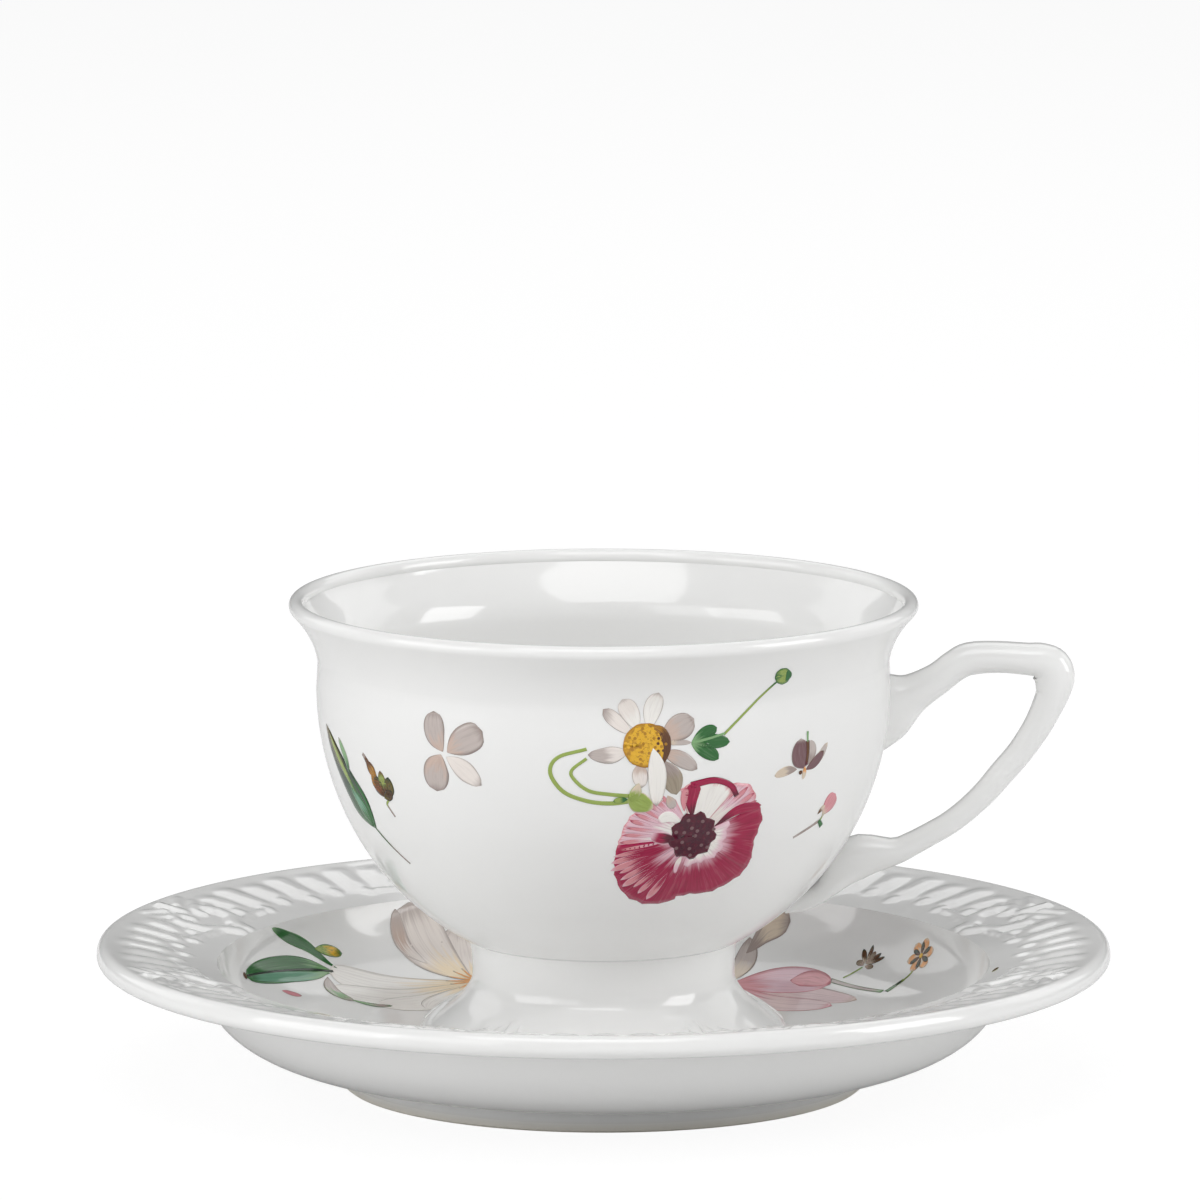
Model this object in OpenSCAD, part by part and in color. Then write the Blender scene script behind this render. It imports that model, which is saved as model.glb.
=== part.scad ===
// Footed teacup with an angular loop handle, standing on its matching saucer.
// Millimetres, +Z up. The origin is on the axis, where the saucer meets the table.
// The handle points along +X, and the larger flowers face -Y.

/* [Saucer] */
// Overall diameter of the saucer
saucer_d = 160; // [136:1:192]
// Height of the rim's crest above the table
saucer_h = 22.8; // [19:0.1:28]
// Height of the well's floor, which the cup stands on
well_h = 5.6; // [4.8:0.1:6.6]
// Outer diameter of the foot ring under the saucer
ring_d = 82.8; // [70:0.2:98]
// Width of the foot ring's standing edge
ring_w = 3; // [2:0.25:4]
// Width of the sloping flange that carries the relief
flange_w = 19; // [15:0.5:24]
// Thickness of the saucer's wall
saucer_wall = 2.8; // [2.3:0.1:3.4]

/* [Cup bowl] */
// Diameter over the rolled lip
rim_d = 99; // [92:0.5:119]
// Height of the cup, from its foot to its lip
cup_h = 71.9; // [60:0.1:86]
// Diameter of the belly, the widest part of the wall
belly_d = 90.4; // [75.2:0.1:98]
// Thickness of the bowl's wall
wall = 2.3; // [1.8:0.1:3]
// Thickness of the rolled lip
lip = 2.4; // [2:0.1:3.2]
// Thickness of the bowl's floor on the axis
floor_t = 3; // [2.4:0.1:4]

/* [Cup foot] */
// Diameter at the base of the foot
foot_d = 58.4; // [50:0.1:70.2]
// Diameter of the stem, just under the bowl
stem_d = 42.8; // [36:0.1:51.6]
// Height of the foot, up to the bowl
foot_h = 17.5; // [14:0.1:21]
// Width of the foot's standing edge
foot_edge = 2.6; // [2:0.1:3.5]
// Gap between the cup's foot and the well's seat, all round
seat_gap = 1.6; // [1:0.1:3]

/* [Handle] */
// How far the handle stands out from the belly
handle_reach = 29.4; // [25:0.1:35]
// Height of the handle's flat top above the cup's foot
handle_top = 64.6; // [60:0.1:66]
// Scale of the handle's section, where 1 is about 5 mm thick
handle_bulk = 1; // [0.85:0.05:1.2]

/* [Prints] */
// Thickness of the fired prints
print_t = 0.1; // [0.05:0.05:0.2]
// Size of the printed flowers, where 1 is the usual size
print_scale = 1; // [0.8:0.05:1.1]

/* [Hidden] */
$fn = 96;

porcelain = [0.93, 0.93, 0.92];
crimson = [0.66, 0.12, 0.33];
grey_petal = [0.72, 0.68, 0.66];
leaf_green = [0.25, 0.42, 0.20];
stem_green = [0.52, 0.62, 0.30];
olive = [0.42, 0.36, 0.18];
mauve = [0.50, 0.43, 0.47];
shell_pink = [0.90, 0.66, 0.70];
cream = [0.90, 0.86, 0.79];

rim_r = rim_d / 2;
belly_r = belly_d / 2;
stem_r = stem_d / 2;
foot_r = foot_d / 2;
ring_r = ring_d / 2;
saucer_r = saucer_d / 2;
flange_r = saucer_r - flange_w;          // where the flange turns down into the well
flange_h = saucer_h - 3.6;               // height of that edge
seat_r = foot_r + seat_gap;              // flat seat for the cup
belly_h = foot_h + 0.735 * (cup_h - foot_h);
neck_h = cup_h - 10;
neck_ease = (neck_h - belly_h) / 3;
waist_h = 0.68 * foot_h;                 // narrowest height of the stem
waist_r = stem_r - 0.7;

// A point at t on the cubic curve through p[0] and p[3], drawn towards p[1] and p[2]
function bez(p, t) = pow(1 - t, 3) * p[0] + 3 * pow(1 - t, 2) * t * p[1]
    + 3 * (1 - t) * t * t * p[2] + pow(t, 3) * p[3];
// n points along that curve, without its first one
function curve(p, n) = [for (i = [1:n]) bez(p, i / n)];
// An arc about a centre, from angle a to angle b
function arc(c, r, a, b, n) = [for (i = [0:n]) c + r * [cos(a + (b - a) * i / n), sin(a + (b - a) * i / n)]];
// The same curve, moved by d along the radius
function grow(pts, d) = [for (p = pts) p + [d, 0]];

// ---- Outlines, as radius and height ----

// The bowl's outer wall below the belly, and its neck and flare above, with heights from the cup's foot
bowl_low = [[belly_r, belly_h], [belly_r, belly_h - 11.7],
            [stem_r + 0.78 * (belly_r - stem_r), foot_h + 0.243 * (belly_h - foot_h)], [stem_r, foot_h]];
lip_c = [rim_r - lip / 2, cup_h - lip / 2];
flare_end = lip_c + lip / 2 * [cos(-40), sin(-40)];
bowl_flare = [flare_end, [rim_r - 2.6, neck_h + 5.6], [belly_r + 0.2, neck_h + 3], [belly_r - 0.2, neck_h]];
bowl_outer = concat([flare_end], curve(bowl_flare, 8),
    curve([bowl_flare[3], bowl_flare[3] - [0, neck_ease], bowl_low[0] + [0, neck_ease], bowl_low[0]], 3),
    curve(bowl_low, 18));
bowl_floor = foot_h + floor_t;
usual_rise = 40;                         // height of the bowl, up to its belly, that the prints are drawn for
lip_in = lip_c + lip / 2 * [cos(215), sin(215)];
bowl_inner = concat(
    curve([[0.01, bowl_floor], [0.7 * belly_r, bowl_floor], [belly_r - wall, bowl_floor + 0.47 * (belly_h - foot_h)],
           [belly_r - wall, belly_h]], 18),
    curve([[belly_r - wall, belly_h], [belly_r - wall, belly_h + neck_ease], [belly_r - wall - 0.2, neck_h - neck_ease],
           [belly_r - wall - 0.2, neck_h]], 3),
    curve([[belly_r - wall - 0.2, neck_h], [belly_r - wall + 0.2, neck_h + 3.5], lip_in - [1.4, 3], lip_in], 8));

// The saucer's upper face, from the crest of the rim inwards to the seat
well_curve = [[flange_r, flange_h], [flange_r - 1, well_h + 6.4], [flange_r - 6, well_h + 0.2], [seat_r, well_h]];
crest = [saucer_r - 1.5, saucer_h];
saucer_top = concat([crest], curve([crest, crest - [5, 0.7], [flange_r + 6, flange_h + 1.1], well_curve[0]], 8),
    curve(well_curve, 16));
under_edge = [flange_r + 2.4, flange_h - saucer_wall];
ring_top = well_h - saucer_wall;
saucer_under = concat([[saucer_r - 2.4, saucer_h - 3.8], under_edge],
    curve([under_edge, under_edge - [1, 6.4], [flange_r - 4, ring_top + 2.2], [ring_r + 1.2, ring_top + 0.8]], 12));
saucer_lip = concat(
    curve([[saucer_r - 2.4, saucer_h - 3.8], [saucer_r - 0.8, saucer_h - 3.6], [saucer_r, saucer_h - 3],
           [saucer_r, saucer_h - 2]], 6),
    curve([[saucer_r, saucer_h - 2], [saucer_r, saucer_h - 1], [saucer_r - 0.4, saucer_h], crest], 6));

// ---- Porcelain ----

// The saucer: one jiggered plate, with its foot ring turned in the same clay
module saucer() {
    ring_flat = [ring_r - ring_w, 0];
    color(porcelain)
        rotate_extrude()
            polygon(concat([[0, well_h], [0, ring_top], [ring_r - ring_w - 0.8, ring_top], ring_flat, [ring_r, 0]],
                [for (i = [len(saucer_under) - 1:-1:0]) saucer_under[i]], saucer_lip,
                [for (i = [1:len(saucer_top) - 1]) saucer_top[i]]));
}

// Everything within the bowl's outer face, for trimming what is luted on to it
module bowl_blank() {
    translate([0, 0, well_h])
        rotate_extrude()
            polygon(concat([[0, foot_h], [0, cup_h - lip / 2], lip_c], bowl_outer));
}

// The bowl, open at the top, with a thin rolled lip
module cup_bowl() {
    color(porcelain)
        translate([0, 0, well_h])
            rotate_extrude()
                polygon(concat([[0, foot_h]], [[0, bowl_floor]], bowl_inner,
                    arc(lip_c, lip / 2, 205, -30, 12), bowl_outer));
}

// The foot: a hollow flaring ring luted under the bowl
module cup_foot() {
    outer = concat([[stem_r, foot_h]],
        curve([[stem_r, foot_h], [waist_r, foot_h - 1.8], [waist_r, waist_h + 1], [waist_r, waist_h]], 5),
        curve([[waist_r, waist_h], [waist_r, waist_h - 3.6], [foot_r - 2.8, 6], [foot_r - 0.5, 3.5]], 8),
        [[foot_r, 2], [foot_r - 0.4, 0]]);
    inner = concat([[foot_r - 0.4 - foot_edge, 0]],
        curve([[foot_r - 0.4 - foot_edge, 0], [foot_r - 5.5, 3.6], [waist_r - 3, waist_h - 4], [waist_r - 3, waist_h]], 8),
        [[waist_r - 3, foot_h]]);
    color(porcelain)
        translate([0, 0, well_h])
            rotate_extrude()
                polygon(concat(outer, inner));
}

// A solid swept along rows of centre, half thickness and half width, in the XZ plane
module ribbon(rows, sides) {
    n = len(rows);
    tangents = [for (i = [0:n - 1]) let (d = rows[min(i + 1, n - 1)] - rows[max(i - 1, 0)]) [d[0], d[1]] / norm([d[0], d[1]])];
    points = [for (i = [0:n - 1], j = [0:sides - 1]) let (a = 360 * j / sides, t = tangents[i], r = rows[i])
        [r[0] - t[1] * r[2] * cos(a), r[3] * sin(a), r[1] + t[0] * r[2] * cos(a)]];
    walls = [for (i = [0:n - 2], j = [0:sides - 1]) let (k = (j + 1) % sides)
        [i * sides + k, (i + 1) * sides + k, (i + 1) * sides + j, i * sides + j]];
    polyhedron(points, concat([[for (j = [sides - 1:-1:0]) j]], walls,
        [[for (j = [0:sides - 1]) (n - 1) * sides + j]]), convexity = 4);
}

// The handle: out from the belly, along a flat top, round a corner and back down to a pointed tail
module handle() {
    rise = handle_top - 2.5 - foot_h;
    // across and up as shares of the reach and the rise, then half thickness and half width
    loop = [for (p = [[-0.17, 0.79, 6.8, 4.8], [-0.012, 0.831, 5.6, 4.3], [0.06, 0.852, 4.3, 3.8],
                      [0.133, 0.877, 3.05, 3.45], [0.252, 0.924, 2.5, 3.15], [0.344, 0.97, 2.45, 3.1],
                      [0.426, 0.996, 2.55, 3.1], [0.578, 1.002, 2.45, 3.1], [0.738, 0.995, 2.5, 3.1],
                      [0.805, 0.99, 2.75, 3.1], [0.86, 0.968, 3.25, 3.15], [0.882, 0.93, 3.25, 3.1],
                      [0.877, 0.885, 2.8, 3.05], [0.86, 0.849, 2.5, 3.0], [0.795, 0.758, 2.2, 2.85],
                      [0.701, 0.664, 2.02, 2.75], [0.603, 0.588, 1.98, 2.7], [0.514, 0.519, 1.88, 2.65],
                      [0.422, 0.461, 1.8, 2.65], [0.324, 0.41, 1.77, 2.65], [0.229, 0.373, 1.77, 2.65],
                      [0.114, 0.332, 1.85, 2.75], [0.02, 0.306, 2.15, 2.85]])
        [belly_r + p[0] * handle_reach, foot_h + p[1] * rise, p[2], p[3]]];
    // the tail lies along the bowl's wall: place on its curve, stand-off, half thickness, half width
    tail = [for (q = [[0.622, 2.6, 3.6, 3.1], [0.735, 2.0, 1.9, 2.7], [0.80, 1.2, 1.6, 2.2], [0.86, 0.0, 0.9, 1.2]])
        let (b = bez(bowl_low, q[0]), d = bez(bowl_low, q[0] + 0.01) - b, u = d / norm(d))
        [b[0] - u[1] * q[1], b[1] + u[0] * q[1], q[2], q[3]]];
    stations = concat(loop, tail);
    last = len(stations) - 1;
    smooth = [for (i = [0:last - 1], s = [0:1]) let (t = s / 2, a = stations[max(i - 1, 0)], b = stations[i],
        c = stations[i + 1], d = stations[min(i + 2, last)])
        0.5 * (2 * b + (c - a) * t + (2 * a - 5 * b + 4 * c - d) * t * t + (3 * b - a - 3 * c + d) * t * t * t)];
    thick = [for (s = concat(smooth, [stations[last]])) [s[0], s[1], s[2] * handle_bulk, s[3] * handle_bulk]];
    color(porcelain)
        difference() {
            translate([0, 0, well_h])
                ribbon(thick, 12);
            bowl_blank();
        }
}

// ---- Fired prints: thin skins of ceramic colour on the glaze ----

// Keeps what falls on the cup's wall, at bearing a round the axis and at a share of the bowl's height up to its belly.
// The print grows and shrinks with the bowl.
module on_cup(a, share) {
    bowl_rise = belly_h - foot_h;
    skin = concat([for (p = bowl_outer) p], [for (i = [len(bowl_outer) - 1:-1:0]) bowl_outer[i] + [print_t, 0]]);
    intersection() {
        translate([0, 0, well_h])
            rotate_extrude()
                polygon(skin);
        rotate([0, 0, a])
            translate([0, 0, well_h + foot_h + share * bowl_rise])
                rotate([90, 0, 0])
                    linear_extrude(rim_r + 5)
                        scale(print_scale * bowl_rise / usual_rise)
                            children();
    }
}

// Keeps what falls on the saucer's upper face, in plan
module on_saucer() {
    top = concat([for (i = [5:len(saucer_top) - 1]) saucer_top[i]]);
    intersection() {
        rotate_extrude()
            polygon(concat(top, [for (i = [len(top) - 1:-1:0]) top[i] + [0, print_t]]));
        linear_extrude(saucer_h)
            children();
    }
}

// A leaf or petal: two arcs that meet at (0, 0) and at (0, l)
module petal(l, w) {
    r = (l * l + w * w) / (4 * w);
    intersection() {
        translate([r - w / 2, l / 2]) circle(r);
        translate([w / 2 - r, l / 2]) circle(r);
    }
}

// A straight stem from a to b
module stem(a, b, w) {
    d = b - a;
    translate(a)
        rotate(atan2(d[1], d[0]))
            translate([0, -w / 2])
                square([norm(d), w]);
}

module anemone_outline() {
    for (i = [0:4])
        rotate(72 * i + 20)
            translate([0, 6]) circle(6);
    circle(5);
}

module daisy_outline() {
    for (a = [-75, -45, -15, 18, 50, 82, 150, 185])
        rotate(a) petal(9.5, 3.6);
    circle(3.3);
}

flower_a = 18.6;                // bearing of the anemone round the cup, from -Y towards +X
flower_up = 0.6;                // its height, as a share
daisy_at = [-7.9, 14.4];        // the daisy's centre on the same sheet as the anemone

module print_anemone() {
    color(crimson) on_cup(flower_a, flower_up) anemone_outline();
}

module print_daisy() {
    color(grey_petal) on_cup(flower_a, flower_up)
        difference() {
            translate(daisy_at) daisy_outline();
            anemone_outline();
        }
}

module print_curled_stems() {
    color(stem_green) on_cup(flower_a, flower_up)
        difference() {
            union() {
                translate([-17.2, 10.6])
                    difference() {
                        circle(5.2);
                        circle(4.6);
                        translate([1, -1.5]) square(8);
                    }
                stem([-17.2, 5.7], [-9, 5.7], 0.9);
                stem([-17.2, 15.5], [-12, 14.8], 0.7);
            }
            translate(daisy_at) daisy_outline();
            anemone_outline();
        }
}

module print_bud_spray() {
    color(leaf_green) on_cup(flower_a, flower_up)
        difference() {
            union() {
                translate([-1.2, 15]) rotate(-75) petal(6.4, 3.4);
                stem([3.6, 16], [14, 22.8], 0.6);
                translate([14.2, 23]) circle(1.5);
            }
            translate(daisy_at) daisy_outline();
            anemone_outline();
        }
}

module print_four_petal() {
    color(grey_petal)
        for (a = [-32.5, 205])
            on_cup(a, 0.89)
                for (b = [10, 95, 160, 255])
                    rotate(b) petal(6.4, 4.6);
}

module print_lance_leaf() {
    color(leaf_green)
        for (a = [-66, 168])
            on_cup(a, 0.57) {
                translate([1.2, -1]) rotate(22) petal(15, 4);
                stem([3.4, -6], [1.2, 0], 0.5);
            }
}

module print_seed_sprig() {
    color(olive)
        for (a = [-52.5, 236])
            on_cup(a, 0.685) {
                translate([-0.6, 0.6]) rotate(24) petal(5.6, 3);
                translate([0.2, 0]) circle(1.3);
                stem([0, 0], [0.2, -3.4], 0.4);
            }
}

module print_mauve_blossom() {
    color(mauve)
        on_cup(43.8, 0.85)
            for (b = [-100, -40, 5, 70, 110])
                rotate(b) petal(4.4, 2.4);
}

module print_pink_bud() {
    color(shell_pink)
        for (a = [53.5, 186])
            on_cup(a, 0.58) {
                translate([0.6, 1.2]) petal(2.9, 2.4);
                stem([0.6, 1.4], [-2, -2.4], 0.4);
            }
}

module print_leaf_pair() {
    color(leaf_green)
        on_saucer() {
            translate([-43.4, 35.4]) rotate(112) petal(13.6, 3.6);
            translate([-43.8, 34.6]) rotate(148) petal(20, 5);
            translate([-42, 36]) circle(2.2);
        }
}

module print_cream_blossom() {
    color(cream)
        on_saucer()
            difference() {
                translate([-28, 39]) {
                    circle(6);
                    for (b = [20, 75, 130, 185, -60])
                        rotate(b) translate([0, 9]) circle(6.4);
                }
                translate([-43.8, 34.6]) rotate(148) petal(20, 5);
                translate([-43.4, 35.4]) rotate(112) petal(13.6, 3.6);
                translate([-42, 36]) circle(2.2);
            }
}

module print_pink_blossom() {
    color(shell_pink)
        on_saucer()
            translate([22, 38]) {
                circle(3.4);
                for (b = [-95, -60, -25, 10])
                    rotate(b) petal(19, 9);
            }
}

module print_brown_sprigs() {
    color(olive)
        on_saucer() {
            translate([44, 35]) rotate(-20) petal(6, 3.2);
            translate([52, 27]) rotate(-40) petal(6.4, 3.6);
            stem([45.6, 26], [52.4, 28.2], 0.6);
            stem([43.4, 30], [44.2, 36], 0.6);
        }
}

saucer();
cup_bowl();
cup_foot();
handle();
print_anemone();
print_daisy();
print_curled_stems();
print_bud_spray();
print_four_petal();
print_lance_leaf();
print_seed_sprig();
print_mauve_blossom();
print_pink_bud();
print_leaf_pair();
print_cream_blossom();
print_pink_blossom();
print_brown_sprigs();
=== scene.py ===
"""Footed porcelain teacup with its saucer: relief rim, angular loop handle and fired flower prints."""

import math
from bisect import bisect_right

import bmesh
import bpy
from mathutils import Color, Matrix, Vector
from mathutils.geometry import interpolate_bezier


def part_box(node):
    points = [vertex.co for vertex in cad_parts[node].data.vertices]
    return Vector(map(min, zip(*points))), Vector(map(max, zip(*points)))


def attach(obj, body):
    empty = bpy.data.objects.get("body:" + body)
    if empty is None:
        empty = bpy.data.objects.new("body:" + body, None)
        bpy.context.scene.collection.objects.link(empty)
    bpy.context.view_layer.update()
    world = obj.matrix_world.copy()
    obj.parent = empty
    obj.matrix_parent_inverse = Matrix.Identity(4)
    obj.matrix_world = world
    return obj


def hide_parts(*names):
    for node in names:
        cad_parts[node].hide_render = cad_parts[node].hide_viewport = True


bl_info = {
    "name": "Footed Teacup",
    "version": (1, 0, 0),
    "blender": (4, 5, 0),
    "location": "View3D > Sidebar > Teacup",
    "description": "Throws a footed teacup and saucer, fires its prints and sets a plain stage",
    "category": "Add Mesh",
}

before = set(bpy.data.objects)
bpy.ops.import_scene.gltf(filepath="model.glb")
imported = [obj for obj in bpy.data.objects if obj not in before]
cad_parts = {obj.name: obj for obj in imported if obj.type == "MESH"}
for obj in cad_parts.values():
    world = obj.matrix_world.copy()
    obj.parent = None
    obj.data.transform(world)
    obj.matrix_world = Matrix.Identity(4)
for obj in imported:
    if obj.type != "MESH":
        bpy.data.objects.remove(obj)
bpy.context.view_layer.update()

MM = 0.001


def corners(node):
    """Lowest and highest corner of a node's box, in millimetres."""
    low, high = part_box(node)
    return low / MM, high / MM


SAUCER_R, _, SAUCER_TOP = corners("saucer")[1]
RIM_R, _, CUP_TOP = corners("cup_bowl")[1]
FOOT_R, _, FOOT_TOP = corners("cup_foot")[1]  # the bowl is luted on at the foot's top
SEAT = corners("cup_foot")[0].z  # height of the well's floor, where the cup stands
HANDLE_REACH, _, HANDLE_TOP = corners("handle")[1]


# ---- Values a maker would change ----


def length(name, text, value):
    """A length in metres, given here in millimetres."""
    return bpy.props.FloatProperty(
        name=name, description=text, default=value * MM, unit="LENGTH", precision=5, min=0.0)


def ink(name, text, red, green, blue):
    """A colour as it looks on a screen, in steps of 0 to 255."""
    return bpy.props.FloatVectorProperty(
        name=name, description=text, subtype="COLOR_GAMMA", size=3, min=0.0, max=1.0,
        default=(red / 255, green / 255, blue / 255))


class TeacupSizes(bpy.types.PropertyGroup):
    """Sizes of the porcelain."""

    belly: length("Belly", "Radius of the bowl at its fullest", RIM_R - 4.3)
    wall: length("Wall", "Thickness of the bowl's wall", 2.3)
    lip: length("Lip", "Thickness of the rolled lip", 2.4)
    stem: length("Stem", "Radius of the foot where it meets the bowl", 21.4)
    flange: length("Flange", "Width of the saucer's relief rim", 19.0)
    ring: length("Foot ring", "Outer radius of the saucer's foot ring", 41.4)
    rim_relief: length("Rim relief", "Height of the relief on the saucer's rim", 0.52)
    foot_relief: length("Foot relief", "Height of the leaves on the cup's foot", 0.6)
    print_lift: length("Print lift", "How far a print stands off the glaze", 0.03)


class TeacupColours(bpy.types.PropertyGroup):
    """Colours of the glaze and of the fired prints."""

    porcelain: ink("Porcelain", "Glazed porcelain", 240, 240, 239)
    bare_clay: ink("Bare clay", "Unglazed rings that the pieces stand on", 226, 222, 212)
    crimson: ink("Crimson", "Outer part of the anemone's petals", 158, 14, 66)
    burgundy: ink("Burgundy", "Anemone's dark heart and petal edges", 86, 16, 40)
    blush: ink("Blush", "Pale streaked petals", 226, 188, 200)
    shell: ink("Shell", "Palest petals", 234, 226, 220)
    petal_grey: ink("Petal grey", "Shaded petals", 190, 179, 174)
    petal_dark: ink("Petal dark", "Edges of shaded petals", 160, 146, 140)
    dust: ink("Dust", "Rosy shade at the heart of grey petals", 200, 178, 166)
    blossom: ink("Blossom", "Pale pink petals", 236, 212, 214)
    milk: ink("Milk", "White petals", 240, 237, 232)
    cream: ink("Cream", "Warm root of white petals", 240, 220, 186)
    plum: ink("Plum", "Heart of the anemone", 70, 16, 38)
    sage: ink("Sage", "Shine on the lance leaf", 104, 156, 128)
    yolk: ink("Yolk", "Daisy's heart", 226, 176, 44)
    ochre: ink("Ochre", "Shaded grains of the daisy's heart", 176, 124, 30)
    bark: ink("Bark", "Brown shading and seeds", 94, 58, 30)
    leaf: ink("Leaf", "Dark leaves", 44, 104, 50)
    forest: ink("Forest", "Deepest green", 16, 48, 24)
    leaf_pale: ink("Pale leaf", "Light side of the leaves", 128, 170, 118)
    stem: ink("Stem", "Stems and calyx", 150, 170, 84)
    husk: ink("Husk", "Withered petals", 158, 146, 128)
    olive: ink("Olive", "Dry husks", 98, 84, 28)
    rust: ink("Rust", "Warm side of the seeds", 150, 78, 40)
    mauve: ink("Mauve", "Small dusky flower", 118, 86, 90)
    rose: ink("Rose", "Pink blossom", 214, 142, 150)
    sand: ink("Sand", "Warm beige petals", 214, 198, 178)
    amber: ink("Amber", "Orange stamens", 232, 160, 88)


def sizes():
    return bpy.context.scene.teacup_sizes


def linear(name):
    """A colour of the palette, as the shaders take it."""
    value = Color(getattr(bpy.context.scene.teacup_colours, name))
    return (*value.from_srgb_to_scene_linear(), 1.0)


# ---- Outlines, as radius and height in millimetres ----


NECK_DROP = 10.0  # from the lip down to the narrowest part of the neck
FLOOR = 3.0  # thickness of the bowl's floor
RIM_FALL = 3.6  # from the crest of the saucer's rim down to its inner edge
SAUCER_WALL = 2.8


def bend(points, count):
    """A cubic curve through the first and last of four points, without its first point."""
    knots = [Vector(p) for p in points]
    return [tuple(p)[:2] for p in interpolate_bezier(*knots, count + 1)[1:]]


def bowl_low_knots():
    belly_r, stem_r = sizes().belly / MM, sizes().stem / MM
    rise = 0.735 * (CUP_TOP - FOOT_TOP)
    belly_z = FOOT_TOP + rise
    return [(belly_r, belly_z), (belly_r, belly_z - 11.7),
            (stem_r + 0.78 * (belly_r - stem_r), FOOT_TOP + 0.243 * rise), (stem_r, FOOT_TOP)]


def lip_point(degrees):
    """A point of the rolled lip's round section."""
    half, angle = sizes().lip / MM / 2, math.radians(degrees)
    return RIM_R - half + half * math.cos(angle), CUP_TOP - half + half * math.sin(angle)


def bowl_outline():
    """Outer wall of the bowl, from the lip down to the foot."""
    low = bowl_low_knots()
    belly_r, belly_z = low[0]
    neck_z, start = CUP_TOP - NECK_DROP, lip_point(-40)
    ease = (neck_z - belly_z) / 3
    flare = [start, (RIM_R - 2.6, neck_z + 5.6), (belly_r + 0.2, neck_z + 3), (belly_r - 0.2, neck_z)]
    neck = [flare[3], (belly_r - 0.2, neck_z - ease), (belly_r, belly_z + ease), low[0]]
    return [start] + bend(flare, 22) + bend(neck, 6) + bend(low, 64)


def bowl_lining():
    """Inner wall of the bowl, from the middle of its floor up to the lip."""
    belly_r, belly_z = bowl_low_knots()[0]
    inner_r, floor = belly_r - sizes().wall / MM, FOOT_TOP + FLOOR
    neck_z, end = CUP_TOP - NECK_DROP, lip_point(215)
    ease = (neck_z - belly_z) / 3
    low = [(0, floor), (0.7 * belly_r, floor), (inner_r, floor + 0.47 * (belly_z - FOOT_TOP)),
           (inner_r, belly_z)]
    neck = [low[3], (inner_r, belly_z + ease), (inner_r - 0.2, neck_z - ease), (inner_r - 0.2, neck_z)]
    flare = [neck[3], (inner_r + 0.2, neck_z + 3.5), (end[0] - 1.4, end[1] - 3), end]
    return [(0, floor)] + bend(low, 56) + bend(neck, 5) + bend(flare, 16)


def lip_round():
    """The rolled lip, from its inner side over the top to its outer side."""
    return [lip_point(205 - 235 * i / 16) for i in range(17)]


def foot_outline():
    """Closed outline of the hollow foot."""
    stem_r = sizes().stem / MM
    waist_r, height = stem_r - 0.7, FOOT_TOP - SEAT
    waist_z = SEAT + 0.68 * height
    outer = [(stem_r, FOOT_TOP)]
    outer += bend([outer[0], (waist_r, FOOT_TOP - 1.8), (waist_r, waist_z + 1), (waist_r, waist_z)], 8)
    outer += bend([outer[-1], (waist_r, waist_z - 3.6), (FOOT_R - 2.8, SEAT + 6),
                   (FOOT_R - 0.5, SEAT + 3.5)], 34)
    outer += bend([outer[-1], (FOOT_R - 0.1, SEAT + 2.9), (FOOT_R, SEAT + 2.6), (FOOT_R, SEAT + 2)], 5)
    outer += bend([outer[-1], (FOOT_R, SEAT + 1), (FOOT_R - 0.1, SEAT), (FOOT_R - 0.6, SEAT)], 6)
    inner = [(FOOT_R - 2.7, SEAT)]
    inner += bend([(FOOT_R - 3.0, SEAT), (FOOT_R - 5.5, SEAT + 3.6), (waist_r - 3, waist_z - 4),
                   (waist_r - 3, waist_z)], 12)
    return outer + inner + [(waist_r - 3, FOOT_TOP)]


def saucer_face():
    """Upper face of the saucer, from the crest of its rim in to the middle."""
    inner_r = SAUCER_R - sizes().flange / MM
    edge_z = SAUCER_TOP - RIM_FALL
    crest = (SAUCER_R - 1.5, SAUCER_TOP)
    flange = [crest, (crest[0] - 5, crest[1] - 0.7), (inner_r + 6, edge_z + 1.1), (inner_r, edge_z)]
    well = [flange[3], (inner_r - 1, SEAT + 6.4), (inner_r - 6, SEAT + 0.2), (FOOT_R + 1.6, SEAT)]
    floor = [(FOOT_R * share, SEAT) for share in (0.66, 0.3, 0)]
    return [crest] + bend(flange, 42) + bend(well, 26) + floor


def saucer_back():
    """Underside of the saucer, from the middle out to the crest of its rim."""
    inner_r, ring_r = SAUCER_R - sizes().flange / MM, sizes().ring / MM
    edge_z, roof = SAUCER_TOP - RIM_FALL, SEAT - SAUCER_WALL
    under = (inner_r + 2.4, edge_z - 2.8)
    hip = (ring_r + 1.2, roof + 0.8)
    ring = [(0, roof), (ring_r * 0.5, roof), (ring_r - 4.8, roof), (ring_r - 4.1, roof - 0.4),
            (ring_r - 3.3, 0.3), (ring_r - 2.9, 0), (ring_r - 0.5, 0), (ring_r - 0.1, 0.3),
            (ring_r + 0.3, 2.0)]
    bowl = bend([hip, (inner_r - 4, roof + 2.2), (under[0] - 1, under[1] - 6.4), under], 22)
    out = bend([under, (under[0] + 0.8, under[1] + 1.2), (SAUCER_R - 8, SAUCER_TOP - 5.0),
                (SAUCER_R - 2.4, SAUCER_TOP - 3.8)], 8)
    lip = bend([out[-1], (SAUCER_R - 0.8, SAUCER_TOP - 3.6), (SAUCER_R, SAUCER_TOP - 3),
                (SAUCER_R, SAUCER_TOP - 2)], 8)
    top = bend([lip[-1], (SAUCER_R, SAUCER_TOP - 1), (SAUCER_R - 0.4, SAUCER_TOP),
                (SAUCER_R - 1.5, SAUCER_TOP)], 8)
    return ring + [hip] + bowl + out + lip + top[:-1]


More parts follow.
